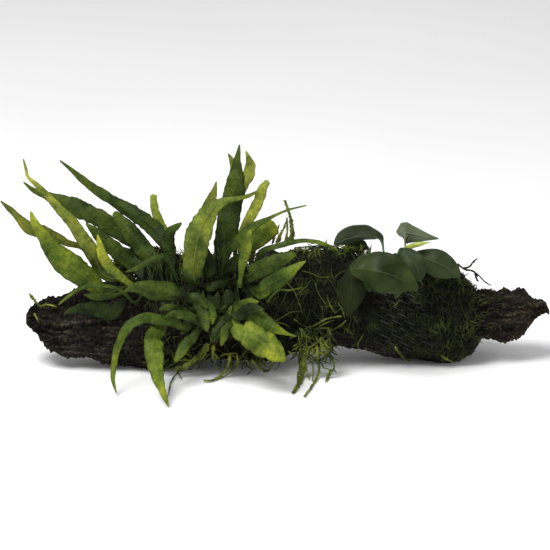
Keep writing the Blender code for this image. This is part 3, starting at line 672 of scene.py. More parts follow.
def leaf_mesh(row, rhizome, seed, ruffle=0.46, fold=0.20, columns=8, rib_radius=0.6,
              nibble=1.0, wave=5.6):
    """A leaf as a bmesh: the blade on its midrib, and the rib behind it."""
    places, foot, turn = row
    points = [Vector((*spot(*place[:3]), place[3] * MM)) for place in places]
    points += [Vector((*end, STALK_WIDTH * MM)) for end in foot_points(rhizome, foot)]
    length = sum((b - a).xyz.length for a, b in zip(points, points[1:])) / MM
    steps = max(FEWEST_ROWS, round(length / ROW_LENGTH))
    path = even_path(points, steps + 1)
    frames = blade_frames([point.xyz for point in path], turn)
    bm = bmesh.new()
    bmesh.ops.create_grid(bm, x_segments=steps, y_segments=columns, size=1.0)
    bm.normal_update()
    bmesh.ops.solidify(bm, geom=bm.faces[:], thickness=1.0)
    uv = bm.loops.layers.uv.new("leaf")
    for face in bm.faces:
        for loop in face.loops:
            loop[uv].uv = ((loop.vert.co.y + 1) / 2, (loop.vert.co.x + 1) / 2)
    for vert in bm.verts:
        t, s = (vert.co.x + 1) / 2, vert.co.y
        step = round(t * steps)
        point, side, face = frames[step]
        reach = t * length
        edge = math.copysign(2.0, s)
        half = max(path[step].w, TIP_WIDTH * MM) / 2
        half = min(half, math.sqrt(reach * MM * TIP_ROUNDING * half) + 0.3 * MM)
        drawn_in = scallop(reach, seed, edge, wave) * min(1.0, half / (NARROW_BLADE * MM))
        half *= 1.0 + nibble * drawn_in
        swell = noise.noise(Vector((reach / (wave * 1.4), seed * 2.1, edge * 1.5)))
        lift = ruffle * swell * s * s - fold * abs(s)
        lift += SWAY * noise.noise(Vector((reach / SWAY_LENGTH, seed * 1.9, s * 0.8)))
        depth = BLADE_THICKNESS * MM * abs(vert.co.z)
        vert.co = point + side * s * half + face * (lift * half - depth)
    bmesh.ops.recalc_face_normals(bm, faces=bm.faces[:])
    radii = [blend(RIB_TIP, rib_radius, (step / steps) ** 0.8) for step in range(steps + 1)]
    back = [point - face * BLADE_THICKNESS * MM for point, _, face in frames]
    rib = tube_bundle([(back, radii)], 1)
    rib_layer = rib.uv_layers.new(name="leaf")
    count = steps + 1
    for loop in rib.loops:
        nearest = min(loop.vertex_index // max(1, len(rib.vertices) // count), count - 1)
        rib_layer.data[loop.index].uv = (0.5, nearest / steps)
    bm.from_mesh(rib)
    bpy.data.meshes.remove(rib)
    return bm


print("blades are", BLADE_THICKNESS, "mm thick")

# %% [markdown]
# ## Where each fern leaf goes
#
# Each row has its leaf's number. It holds places along the midrib from tip to
# base (across, up, out and the blade's width there), then the foot on the
# rhizome (across, and angle round it) and how far the blade is turned on its
# midrib. They are the rows of the solids, so each leaf lies where its solid is.
# The last two rows are leaves at the back.

# %% Fern leaves, left group
FERN_LEAVES = {
    1: ([(-205, 122, 0, 1), (-198, 115.5, 0, 4.5), (-191, 108.5, 0, 6.5), (-184, 102, 1, 9.5),
         (-174, 98.5, 2, 10.5), (-164, 94.5, 4, 8), (-154, 90, 5, 5.5), (-144, 87, 6, 4),
         (-124, 74, 8, 3)], (-111, 118), 15),
    2: ([(-181, 114, 34, 1.5), (-178, 105, 35, 6), (-172, 96, 35, 9.5), (-165, 85.5, 35, 13.5),
         (-156, 76.5, 34, 18.5), (-145, 68, 33, 19), (-135, 60, 31, 14), (-127, 52.5, 30, 8)],
         (-112, 50), 0),
    3: ([(-187, 153, 10, 1), (-185, 145, 11, 2.2), (-183.5, 139.5, 12, 2.2),
         (-177.5, 134, 15, 3.8), (-170, 126.5, 18, 5), (-160, 115.5, 21, 7), (-150, 104.5, 22, 9),
         (-141.5, 91.5, 22, 10.5), (-133.5, 78, 22, 10.5), (-127, 66, 21, 7)], (-108, 85), 5),
    4: ([(-189, 136.5, -28, 1), (-181.5, 130.5, -27, 4), (-172.5, 126.5, -26, 6),
         (-162.5, 122, -24, 10.5), (-150, 117, -21, 14.5), (-137, 111.5, -17, 13),
         (-125, 105, -13, 14.5), (-112.5, 96.5, -8, 14), (-101, 87, -1, 10)], (-93, 122), 10),
    5: ([(-162, 153, -40, 1), (-153.5, 146, -38, 3.5), (-144.5, 138, -35, 5.5),
         (-134, 130.5, -32, 7.2), (-123.5, 123.5, -28, 8.5), (-113, 117, -24, 10.5),
         (-101, 109.5, -18, 13), (-90.5, 101, -12, 12.5), (-83, 91, -5, 9), (-77, 82, 1, 5)],
         (-70, 118), 10),
    6: ([(-92.5, 128, -50, 5.2), (-92, 121, -46, 6.2), (-90, 113, -40, 7.5), (-86, 105, -31, 7.5),
         (-80, 92, -14, 5)], (-77, 140), 20),
    7: ([(-120.5, 114, -6, 4), (-114.5, 106.5, -5, 9.5), (-108.5, 99, -2, 12.5),
         (-102.5, 91, 1, 14), (-96, 83, 5, 13), (-89, 75, 10, 9)], (-84, 100), 0),
    8: ([(-69.5, 105.5, 18, 1.5), (-73, 103, 17, 4.5), (-77.5, 99.5, 14, 7.5),
         (-79.5, 94, 12, 9.5), (-79, 86.5, 11, 11), (-78, 77.5, 13, 8)], (-77, 88), 10),
    9: ([(-131, 96.5, 50, 1), (-129.5, 88.5, 50, 5.5), (-127.5, 81, 50, 7.5),
         (-123, 73.5, 49, 7.8), (-115.5, 66.5, 47, 6.2), (-108, 60.5, 44, 4.8),
         (-97, 52.5, 38, 3.2)], (-90, 22), 0),
    10: ([(-111.5, 54.5, 58, 1.5), (-106, 57, 57, 5.5), (-99, 57.5, 55, 10), (-92, 55.5, 52, 14),
         (-82, 54.5, 47, 15.5), (-71, 55, 41, 12)], (-68, 32), 0),
    11: ([(-161, 44.5, 44, 1), (-154, 50.5, 44, 2.2), (-144, 57, 43, 2.6), (-133, 58.5, 42, 2.8),
         (-119, 57.5, 40, 3), (-112, 53.5, 38, 3), (-105, 46.5, 35, 2.6)], (-99, 8), 0),
    12: ([(-157, 38, 38, 1.5), (-150, 41, 37, 5), (-141, 42, 36, 9.5), (-131, 41.5, 34, 13),
         (-121, 39.5, 33.5, 11.5)], (-110, 0), 0),
    13: ([(-117.5, -20.5, 76, 1), (-120, -10.5, 72, 3.4), (-119, 1.5, 68, 4.5),
         (-117.5, 10.5, 66, 5.2), (-114.5, 18, 64, 6), (-111, 25.5, 62, 6.5), (-105, 31.5, 60, 7),
         (-96, 35, 57, 8.2), (-86, 33.5, 54, 8), (-76, 32, 51, 6.8), (-66, 29.5, 46, 6)],
         (-54, -32), 0),
    14: ([(-78.5, -30, 101, 1), (-80.5, -24.5, 99, 3.6), (-83.5, -17, 96, 6.2),
         (-86, -9.5, 91.5, 8.8), (-88, -1.5, 86.5, 11.8), (-89, 7.5, 80, 13.8),
         (-89.5, 16, 73, 14.5), (-88.5, 23, 63, 13.5), (-84.5, 28, 50, 9)], (-75, -12), 0),
    15: ([(-74.5, 2, 62, 1.5), (-71, 7.5, 59, 6.2), (-68, 12.5, 56, 8), (-63.5, 18, 51, 8),
         (-59, 23.5, 46, 6)], (-48, -42), 0),
}
print("fern leaves on the left:", len(FERN_LEAVES))

# %% Fern leaves, middle and front
FERN_LEAVES.update({
    16: ([(-12.5, 129, 34, 1.5), (-19, 125.5, 38, 3), (-26, 123.5, 41, 3.4), (-34.5, 122, 43, 5),
         (-42, 119, 44, 8.5), (-48, 113.5, 45, 12.5), (-53, 105.5, 44, 16.5), (-57, 95, 43, 19),
         (-59, 84, 41, 18.5), (-60.5, 72.5, 38, 15.5), (-59.5, 62, 35, 11)], (-57, 36), 0),
    17: ([(-43.5, 136, 22, 1), (-45, 129.5, 22, 4.2), (-47.5, 122.5, 22, 7.8),
         (-51, 115, 22, 8.4), (-57, 106, 21, 8.4), (-62, 97, 20, 7.5), (-65, 87, 19, 6)],
         (-64, 92), 10),
    18: ([(-26.5, 164, -8, 1), (-27.5, 156.5, -7, 4), (-28.5, 149, -5, 7.2),
         (-29, 139.5, -3, 12.8), (-30.5, 129, 0, 15.5), (-33, 117, 3, 16.5), (-35, 106.5, 7, 17),
         (-37, 95.5, 10, 16.5), (-38.5, 85, 13, 13)], (-38, 100), 0),
    19: ([(-35, 157.5, -20, 1), (-32, 151.5, -18, 4.5), (-31, 143, -16, 7), (-34, 130, -12, 8.5),
         (-38, 115, -6, 8.5), (-42, 95, 3, 6)], (-46, 118), 10),
    20: ([(-22, 160, -38, 1), (-20, 154.5, -37, 4.2), (-19, 148.5, -35, 8.5),
         (-20, 142.5, -33, 9.5), (-23, 136, -30, 7.5), (-26.5, 124, -25, 5), (-29, 106, -18, 4),
         (-30, 88, -6, 3.5)], (-30, 140), 15),
    21: ([(-5.2, 137, 12, 4.5), (-9.5, 130.5, 13, 7), (-12, 122.5, 14, 8.2),
         (-17, 113.5, 15, 8.2), (-21.5, 104, 16, 7.2), (-25.5, 94, 17, 5.5)], (-26, 86), 10),
    22: ([(23.5, 118.5, 26, 0.9), (11, 115.5, 27, 1.6), (2, 112, 28, 2.2), (-5, 108.5, 29, 3.2),
         (-13.5, 104.5, 29.5, 5.2), (-21, 98.5, 30, 8), (-28.5, 91.5, 29.5, 10),
         (-36.5, 84, 28, 8.5)], (-40, 74), 15),
    23: ([(-0.5, 106.5, -4, 15.5), (-6, 101, -2, 15.8), (-12.5, 94.5, 1, 14.5),
         (-18.5, 87.5, 5, 11.5)], (-17, 112), 0),
    24: ([(-18, 100, 60, 1.5), (-19.5, 94.5, 59, 5.2), (-21, 88.5, 58, 7.8), (-22.5, 81, 56, 7.4),
         (-24.5, 72.5, 54, 5.4), (-25.7, 63.5, 51, 3.4), (-26.5, 57, 47, 3)], (-28, 22), 0),
    25: ([(47, 85, 24, 1), (40, 88.5, 25, 2.6), (31, 91.5, 26, 3.2), (19, 92.2, 26, 3.4),
         (4, 89.2, 26, 4.6), (-10, 84, 27, 5)], (-16, 72), 20),
    26: ([(15.5, 82.5, 40, 3), (9.5, 80, 41, 8), (2, 76.5, 41.5, 12), (-5, 73.5, 41.5, 13.5),
         (-13.5, 70, 41, 13), (-20, 65.5, 38, 9.5)], (-23, 50), 0),
    27: ([(22.5, 77, 54, 1), (16.5, 73, 54, 5.5), (9.5, 68, 54, 10), (2, 63, 53, 12),
         (-5, 59, 51, 12), (-12, 54.5, 47, 11)], (-21, 14), 0),
    28: ([(20, 57.5, 62, 0.8), (11, 55.5, 61, 1.3), (3, 55.5, 60, 1.4), (-3, 50.5, 58, 1.4),
         (-6, 46.5, 50, 1.4)], (-6, -50), 0),
    29: ([(7.5, 3, 80, 2), (2, 8, 78, 12.5), (-4, 13, 76, 19), (-12.5, 18.5, 71, 20),
         (-21.5, 24, 65, 17.5), (-29, 28, 58, 11)], (-38, -38), 0),
    30: ([(15.7, 21.2, 66, 1), (9, 23.2, 65, 2.6), (3.7, 25.5, 64.5, 5.6),
         (-2.2, 28.5, 63.5, 9.5), (-9.7, 33, 61, 11.5), (-18.7, 38, 56, 12),
         (-26.5, 40.5, 48, 6.5)], (-28, -14), 0),
    31: ([(-33.5, 60, 29, 2), (-38, 60.5, 32, 6), (-43, 59.5, 35, 6.5), (-48.5, 57, 35, 6)],
         (-51, 40), 0),
    32: ([(-50, 86.5, 31, 1.5), (-49, 80, 31, 5.5), (-48, 73, 31, 10), (-47.5, 66, 30, 9)],
         (-46, 62), 0),
    33: ([(-86, 41, 60, 1), (-80.5, 43, 58, 4.6), (-74.5, 42.5, 53, 5), (-68, 41, 47, 4.5),
         (-63, 39, 43, 3.5)], (-59, -6), 0),
    34: ([(-111.5, 69, 30, 1), (-103, 71.5, 28, 3.8), (-96, 75.5, 26, 5), (-88, 79, 24, 5.6),
         (-80, 79, 22, 5)], (-73, 68), 0),
    35: ([(-141, 105.5, 12, 1.5), (-131, 96, 12, 9), (-121.5, 87, 12, 12), (-111.5, 79.5, 12, 13),
         (-103, 73, 13, 10)], (-99, 100), 0),
    36: ([(-26, 82, 22, 2.5), (-30.5, 76.5, 23, 8), (-34.5, 69.5, 24, 10)], (-33, 76), 0),
    37: ([(-35, 46, -84, 1), (-42, 66, -62, 12), (-49, 76, -34, 14), (-54, 76, -8, 9)],
         (-54, 140), 0),
    38: ([(22, 52, -78, 1), (8, 70, -58, 11), (-4, 80, -32, 13), (-10, 80, -8, 8)], (-10, 132),
         0),
})
print("fern leaves in all:", len(FERN_LEAVES))

# %% Tone of each fern leaf
# leaves in shadow take the shade tone, painted shade; leaf 29 takes the lit tone, painted light; leaf
# 16 the turned tone, with painted light and shade
LEAF_TONES = {
    "shade": (12, 31, 32, 36, 37, 38),
    "deep": (4, 5, 7, 8, 10, 15, 18, 26, 28, 33, 34, 35),
    "mid": (11, 13, 22, 25, 27, 30),
    "fresh": (2, 6, 14, 19, 23, 24),
    "olive": (1, 17),
    "turned": (16,),
    "lit": (29,),
    "light": (3, 20, 21),
    "lime": (9,),
}
TONE_OF = {number: tone for tone, numbers in LEAF_TONES.items() for number in numbers}
for number, row in FERN_LEAVES.items():
    bm = leaf_mesh(row, FERN_RHIZOME, number)
    place_piece(bm, f"java_leaf_{number:02d}", FERN[TONE_OF[number]],
                [f"fern_leaf_{number:02d}"])
print("dressed", len(TONE_OF), "fern leaves")

# %% [markdown]
# ## The fern's rhizome and young leaves
#
# Java fern creeps on a dark, scaly rhizome the thickness of a pencil. Young
# leaves stand on it between the large ones. The rhizome is a tube with a
# knobbly skin; the young leaves use the same leaf function as the large ones.

# %% Rhizome finish
RHIZOME_SKIN = noise_finish(
    "rhizome_skin", 0.8, 0.08, (420.0, (0.6, 1.0, 1.0), 6.0),
    ((0.3, (0.002, 0.003, 0.001)), (0.55, (0.007, 0.009, 0.003)), (0.75, (0.022, 0.026, 0.007))),
    relief=(0.8, 0.0008))
RHIZOME_RINGS = 90
KNOB_HEIGHT = 0.16           # as a share of the radius
KNOB_PACE = 26.0


def rhizome_mesh(rhizome, seed):
    """A knobbly creeping stem as a bmesh."""
    path, radii = [], []
    for step in range(RHIZOME_RINGS):
        share = step / (RHIZOME_RINGS - 1)
        path.append(rhizome_centre(rhizome, blend(rhizome["from"], rhizome["to"], share)))
        round_end = min(1.0, 0.45 + 8.0 * min(share, 1.0 - share))
        knob = 1.0 + KNOB_HEIGHT * noise.noise(Vector((share * KNOB_PACE, seed, 0.0)))
        radii.append(rhizome["radius"] * round_end * knob)
    return as_bmesh(tube_bundle([(path, radii)], 3), weld=True)


rhizome_bm = rhizome_mesh(FERN_RHIZOME, 3.0)
place_piece(rhizome_bm, "fern_rhizome_skin", RHIZOME_SKIN, ["fern_rhizome"])
print("made the fern's rhizome")

# %% Young leaves
YOUNG_LEAVES = (
    ([(-142, 52, 37, 1), (-133, 50.5, 35, 5.5), (-122, 51, 32, 4)], (-106, 34), 0),
    ([(-14.5, 47.5, 54, 2), (-19, 46.5, 50, 7.5), (-21.5, 45, 44, 5)], (-17, -8), 0),
    ([(-50, 42, 52, 1.5), (-54, 47, 49, 6.5), (-60, 50, 45, 7), (-66, 51, 40, 5)], (-64, 8), 0),
    ([(-48, 31, 54, 1.5), (-53, 35.5, 49, 7), (-59, 38.5, 42, 6)], (-66, -30), 0),
    ([(-47, 17, 52, 1.5), (-44.5, 25, 48, 6), (-43, 33, 43, 4)], (-43, -22), 0),
    ([(-42.5, 54, 46, 1.5), (-43.5, 48, 47, 6.5), (-45, 41, 46, 6)], (-47, -12), 0),
    ([(-36, 56, 42, 3), (-34.5, 50, 43, 8.5), (-35.5, 43, 41, 5)], (-37, 4), 0),
)
# the young leaves sit in the crowded crown, so they take the deep and shade tones: painted shade
YOUNG_TONES = ("deep", "shade", "deep", "shade", "deep", "shade", "shade")
YOUNG_SEED = 40              # the first of the numbers that shape these leaves' margins
for index, row in enumerate(YOUNG_LEAVES):
    bm = leaf_mesh(row, FERN_RHIZOME, YOUNG_SEED + index, ruffle=0.9, fold=0.35, rib_radius=0.4,
                   nibble=1.8, wave=3.4)
    place_piece(bm, f"young_leaf_{index + 1:02d}", FERN[YOUNG_TONES[index]],
                ["fern_rhizome"])
print("young leaves:", len(YOUNG_LEAVES))

# %% [markdown]
# ## Small leaves in the crown
#
# Where the large leaves leave the rhizome, the real plant is crowded with
# short, frilly leaves, most of them in shade. Eight can be told apart and have
# rows of their own. A seeded random draw spreads ten shaded ones behind them,
# because a bare rhizome would show between the rows.

# %% Crown leaves
CROWN_LEAVES = (
    ([(-82, 35, 60, 1.5), (-74, 37.5, 57, 6), (-66, 36.5, 53, 7.5), (-57, 32.5, 49, 7),
      (-50, 29, 45, 5)], (-48, -20), 10),
    ([(-50.5, 24.5, 56, 2), (-51, 31, 55, 7), (-53.5, 38, 52, 9), (-57, 45, 47, 7)], (-58, 5), 0),
    ([(-46.5, 30, 55, 1.5), (-47, 37, 53, 7), (-50, 44, 49, 8.5), (-54, 49, 44, 6)], (-54, 10), -15),
    ([(-12, 47, 58, 1.5), (-18, 46.5, 57, 6), (-25, 43.5, 54, 8), (-32, 39.5, 48, 6)],
     (-33, -10), 0),
    ([(-47.5, 17, 60, 1.5), (-44, 22, 59, 7), (-40, 28.5, 56, 9.5), (-34, 34, 51, 8)],
     (-33, -20), 0),
    ([(-40, 14, 62, 1.5), (-38, 20, 61, 6), (-34.5, 27, 58, 8), (-30, 32, 53, 7)], (-30, -25), 15),
    ([(-80, 52, 46, 1.5), (-73, 52.5, 45, 5), (-65, 50.5, 44, 6.5), (-58, 47.5, 42, 5)],
     (-57, 20), 0),
    ([(-8, 41, 63, 1.5), (-14, 42, 62, 6), (-21, 41, 59, 9), (-28, 38, 54, 8)], (-29, -12), 0),
)
CROWN_TONES = ("deep", "deep", "deep", "mid", "shade", "deep", "shade", "shade")
CROWN_SEED = 80
BACKGROUND_LEAVES = 10


def draw(rng, *ranges):
    """One random number from each range."""
    return [rng.uniform(*limits) for limits in ranges]


crown_rows = list(zip(CROWN_LEAVES, CROWN_TONES))
crown_rng = random.Random(21)
for _ in range(BACKGROUND_LEAVES):
    across, up, heading, length, wide, front, foot_angle, turn = draw(
        crown_rng, (-68, -26), (31, 56), (160, 380), (12, 19), (6, 9), (42, 48),
        (-35, 20), (-35, 35))
    ahead = math.cos(math.radians(heading)) * length
    rise = math.sin(math.radians(heading)) * length * 0.8
    places = [(across + ahead, up + rise, front, 1.0),
              (across + ahead * 0.75, up + rise * 0.8, front + 1, wide * 0.7),
              (across + ahead * 0.4, up + rise * 0.3, front, wide),
              (across, up, front - 6, wide * 0.5)]
    crown_rows.append(((places, (across, foot_angle), turn), "shade"))
for index, (row, tone) in enumerate(crown_rows):
    bm = leaf_mesh(row, FERN_RHIZOME, CROWN_SEED + index, ruffle=0.9, fold=0.30, rib_radius=0.3,
                   nibble=1.7, wave=4.0)
    place_piece(bm, f"crown_leaf_{index + 1:02d}", FERN[tone], ["fern_rhizome"])
print("crown leaves:", len(crown_rows))

# %% [markdown]
# ## Anubias
#
# Anubias leaves are broad, leathery and dark, with a grey sheen where they
# face the light. Fine side veins curve from the midrib towards the tip. Most
# of the sheen comes from a low roughness, so it moves with the light as it
# does on the real leaf. On leaves 1 and 6 the sheen is painted into the
# colour as well: their pale tone is a painted sheen.

# %% Anubias finishes
ANUBIAS_SPECULAR = 0.06
VEIN_PACE = 120.0            # side veins, in turns of a sine along the leaf
VEIN_SLANT = 0.9


def anubias_finish(name, dark, pale, roughness):
    """A leathery finish with paler side veins, midrib and rim."""
    material, tree, shader = start_finish(name, roughness, ANUBIAS_SPECULAR)
    along, from_rib = leaf_map(tree)[1:]
    body = ramp(tree, noise_field(tree, 60.0, detail=4.0), ((0.3, dark), (0.7, pale)))
    slant = calc(tree, "ADD", along, calc(tree, "MULTIPLY", from_rib, VEIN_SLANT))
    stripes = calc(tree, "SINE", calc(tree, "MULTIPLY", slant, VEIN_PACE))
    for value, stops, paler in (
            (stripes, ((0.55, BLACK), (1.0, (0.14, 0.14, 0.14))), 2.0),
            (from_rib, ((0.0, (0.4, 0.4, 0.4)), (0.025, BLACK)), 1.8),
            (from_rib, ((0.485, BLACK), (0.5, (0.4, 0.4, 0.4))), 2.0)):
        body = mix(tree, ramp(tree, value, stops), body, tuple(c * paler for c in pale))
    tree.links.new(body, shader.inputs["Base Color"])
    add_bump(tree, shader, stripes, 0.10, 0.0004)
    return material


# the pale tone is a painted sheen: the grey sheen of leaves 1 and 6 laid into their colour
ANUBIAS_TONES = {
    "pale": ((0.042, 0.056, 0.032), (0.100, 0.122, 0.070), 0.42),
    "dark": ((0.012, 0.021, 0.008), (0.036, 0.052, 0.020), 0.38),
    "green": ((0.006, 0.013, 0.003), (0.030, 0.044, 0.012), 0.36),
    "old": ((0.004, 0.006, 0.002), (0.018, 0.022, 0.008), 0.75),
}
ANUBIAS = {tone: anubias_finish("anubias_" + tone, *values)
           for tone, values in ANUBIAS_TONES.items()}
print("anubias finishes:", ", ".join(ANUBIAS))

# %% Anubias leaves
ANUBIAS_LEAVES = {
    1: ([(44, 89, 4, 2), (48, 91, 3.5, 14), (54, 93.5, 3, 22), (62, 95.5, 1, 25),
         (70, 96, -1, 21), (77, 94.5, -1, 12), (79.5, 92, -1, 5)], (81, 104), 58),
    2: ([(50, 84, -20, 2), (56, 86, -20, 11), (63, 87.5, -19, 13.5), (69, 88, -17, 9)], (70, 122),
         50),
    3: ([(106, 55, 48, 1.5), (101, 59, 51, 13), (94, 63, 53.5, 23), (85, 67, 55, 29),
         (75, 70, 52, 30), (66, 71.5, 47, 22), (59, 72, 42, 9)], (66, 62), 0),
    4: ([(107.5, 61.5, 38, 1.5), (107, 68, 38, 11), (104, 75, 36, 16), (98, 80.5, 31, 14),
         (92, 83, 25, 8)], (91, 66), 0),
    5: ([(138, 65, 26, 1.5), (134, 68.5, 26, 11), (128, 72, 26, 18), (120, 76, 24, 20.5),
         (112, 79, 20, 16), (105, 81.5, 15, 7)], (104, 72), 0),
    6: ([(123, 94, -14, 0.9), (116, 95, -13, 4.8), (109, 96.2, -11, 9.4), (103, 97.4, -9, 13.4),
         (98.6, 98.2, -7, 16.6), (97.2, 98, -6.5, 14), (97.2, 94, -4, 2)], (98, 112), 0),
    7: ([(70, 54, 38, 1.5), (70.5, 57.5, 38, 7.5), (71, 61, 38, 11), (72.5, 65, 37, 6)], (74, 12),
         0),
    8: ([(90, 49, 36, 1.2), (90.5, 52.5, 37, 6), (91, 56.5, 37, 9), (91, 62, 35, 5)], (87, 12),
         0),
    9: ([(53.5, 36, 38, 1.5), (55, 42, 38, 11), (56.5, 49, 38, 18), (57, 57, 37, 22),
         (57, 64, 35, 18), (56.5, 69, 32, 9)], (58, 22), 0),
}
print("anubias leaves:", len(ANUBIAS_LEAVES))

# %% Dress the anubias leaves
# leaves 1 and 6 take the pale tone, a painted sheen
SPECIAL_TONES = {1: "pale", 3: "green", 6: "pale", 7: "green", 9: "old"}
ANUBIAS_SEED = 60
for number, row in ANUBIAS_LEAVES.items():
    bm = leaf_mesh(row, ANUBIAS_RHIZOME, ANUBIAS_SEED + number, ruffle=0.05, fold=0.22,
                   columns=16, rib_radius=1.0, nibble=0.15)
    place_piece(bm, f"nana_leaf_{number:02d}", ANUBIAS[SPECIAL_TONES.get(number, "dark")],
                [f"anubias_leaf_{number:02d}"])
bm = rhizome_mesh(ANUBIAS_RHIZOME, 8.0)
place_piece(bm, "anubias_rhizome_skin", RHIZOME_SKIN, ["anubias_rhizome"])
print("dressed", len(ANUBIAS_LEAVES), "anubias leaves")

# %% [markdown]
# ## The new anubias leaf
#
# The youngest leaf is still rolled up. It is a bright yellow-green spindle, so
# a tapered tube along its own path is the right shape.

# %% Rolled new leaf
NEW_LEAF_SKIN = noise_finish(
    "new_leaf_skin", 0.4, 0.5, (300.0, (0.2, 1.0, 1.0), 4.0),
    ((0.3, (0.18, 0.24, 0.02)), (0.7, (0.34, 0.40, 0.05))), relief=(0.3, 0.0003))
NEW_LEAF = ((115, 91, 22), (108.7, 90, 21.5), (102.7, 88.5, 20), (97.5, 86, 17))
NEW_LEAF_STEPS = 32
NEW_LEAF_RADIUS = 1.9
new_path = even_path([spot(*place) for place in NEW_LEAF] + foot_points(ANUBIAS_RHIZOME, (97, 60)),
                     NEW_LEAF_STEPS + 1)
new_radii = []
for step in range(NEW_LEAF_STEPS + 1):
    share = step / NEW_LEAF_STEPS
    swelling = 0.25 + 0.75 * ease(0.0, 0.22, share)
    new_radii.append(NEW_LEAF_RADIUS * swelling * (1 - 0.5 * ease(0.35, 0.9, share)))
bm = as_bmesh(tube_bundle([(new_path, new_radii)], 4), weld=True)
place_piece(bm, "rolled_leaf", NEW_LEAF_SKIN, ["anubias_new_leaf"])
print("made the rolled leaf")

# %% [markdown]
# ## Moss
#
# Moss on the wood is a tangle of thin stems with short side leaves. Particle
# hair can't be exported, so each stem is a thin tube that wanders over the
# wood's skin, and the side leaves are short spurs. All stems of one patch are
# joined in one mesh.

# %% Moss finishes
def strand_finish(name, dark, middle, pale):
    """The finish of thin strands, in three shades of one colour."""
    stops = ((0.34, dark), (0.52, middle), (0.70, pale))
    return noise_finish(name, 0.75, 0.2, (95.0, EVEN, 5.0), stops)


# Where one patch or tuft is split between these finishes, the darker ones stand for stems in shade
# and the paler ones for stems in light: painted shade and painted light.
MOSS_DARK = strand_finish("moss_dark", (0.002, 0.003, 0.001), (0.009, 0.013, 0.003),
                          (0.040, 0.052, 0.009))
MOSS_DIM = strand_finish("moss_dim", (0.006, 0.009, 0.002), (0.026, 0.036, 0.007),
                         (0.085, 0.105, 0.016))
MOSS_OLIVE = strand_finish("moss_olive", (0.016, 0.025, 0.004), (0.075, 0.095, 0.014),
                           (0.190, 0.215, 0.028))
MOSS_LIT = strand_finish("moss_lit", (0.038, 0.055, 0.007), (0.135, 0.165, 0.020),
                         (0.280, 0.310, 0.036))
ROOT_BROWN = strand_finish("root_brown", (0.003, 0.003, 0.001), (0.012, 0.011, 0.005),
                           (0.042, 0.038, 0.014))
print("made", MOSS_DARK.name, MOSS_DIM.name, MOSS_OLIVE.name, MOSS_LIT.name, ROOT_BROWN.name)

# %% Stems that wander over the wood
WANDER_STEP = 2.2            # a stem turns once in this length
WOOD_RADIUS = 32.0           # of the log, to turn a length round it into an angle
UNEVEN = 0.5                 # how much a stem's height over the wood varies
SPUR_TIP = 0.12              # radius
GROUND_GAP = 0.6             # no strand comes closer to the ground


def gauss_vector(rng, size=1.0):
    """A random vector, as often one way as another."""
    return Vector([rng.gauss(0, size) for _ in range(3)])


def wander(rng, across, degrees, heading, length, clearance, curl):
    """A stem over the log's skin. Heading is in degrees: 0 to the right, 90 up."""
    points = []
    angle = math.radians(degrees)
    turn = math.radians(heading)
    for _ in range(max(3, int(length / WANDER_STEP)) + 1):
        height = clearance + UNEVEN * rng.random()
        points.append(wood_point(across, angle, LOG_ROWS, height))
        turn += rng.gauss(0.0, curl)
        across += WANDER_STEP * math.cos(turn)
        angle += WANDER_STEP * math.sin(turn) / WOOD_RADIUS
    return points


def wandering(rng, count, stretch, curl=0.5):
    """Stems on a stretch: ranges of across, angle round the log, heading, length and height."""
    for _ in range(count):
        yield wander(rng, *draw(rng, *stretch), curl)


def with_spurs(rng, points, thick, thin, spur, keep):
    """A stem with short side leaves, as a list of strands."""
    strands = [(points, taper(len(points), thick, thin))]
    for before, point in zip(points, points[1:]):
        if rng.random() > keep:
            continue
        along = (point - before).normalized()
        away = gauss_vector(rng).normalized()
        end = point + (along * 0.7 + away * 0.7) * spur * MM * blend(0.6, 1.2, rng.random())
        strands.append(([point, end], [thick * 0.75, thin * 0.6]))
    return strands


def patch(seed, count, stretch, thick, spur, curl, keep=0.8):
    """Many stems with side leaves, spread over a stretch of the log."""
    rng = random.Random(seed)
    strands = []
    for stem in wandering(rng, count, stretch, curl):
        strands += with_spurs(rng, stem, thick * rng.uniform(0.7, 1.25), SPUR_TIP, spur, keep)
    return strands


def lay_strands(name, strands, material, nodes):
    """Place a bundle of strands as one piece, with none of them in the ground."""
    strands = [([Vector((*point.xy, max(point.z, GROUND_GAP * MM))) for point in points], radii)
               for points, radii in strands]
    bm = as_bmesh(tube_bundle(strands, profile=triangle))
    bmesh.ops.recalc_face_normals(bm, faces=bm.faces[:])
    piece = place_piece(bm, name, material, nodes)
    print(name, "has", len(strands), "strands and", len(piece.data.polygons), "faces")

# %% [markdown]
# ## Stems with leaflets
#
# Close up, a moss stem is a core with tiny leaves all round it. A smooth tube
# would look like wire, so each core carries short tapered leaflets that point
# forward and out. The stems that can be told apart follow their own few
# points; the rest are drawn at random over the wood, always from a fixed seed.

# %% Stems with leaflets
THIN_END = 0.6               # how thick a moss stem is at its end, as a share
SEARCH_LOW, SEARCH_HIGH = math.radians(-80.0), math.radians(112.0)
SEARCH_STEPS = 16


def mossy(rng, points, thickness, pace=1.2):
    """A moss stem: a thin core, with leaflets all round it that reach its thickness."""
    length = sum((b - a).length for a, b in zip(points, points[1:])) / MM
    count = max(4, round(length / pace))
    path = even_path(points, count)
    strands = [(path, taper(count, thickness * 0.30, thickness * 0.20))]
    for index in range(1, count):
        along = (path[index] - path[index - 1]).normalized()
        size = thickness * blend(1.0, THIN_END, index / count)
        for _ in range(2 + int(thickness)):
            away = gauss_vector(rng)
            away = (away - along * away.dot(along)).normalized()
            end = path[index] + (along * 0.5 + away * 0.55) * size * MM * rng.uniform(0.6, 1.2)
            strands.append(([path[index], end], [0.19 * size, 0.08 * size]))
    return strands


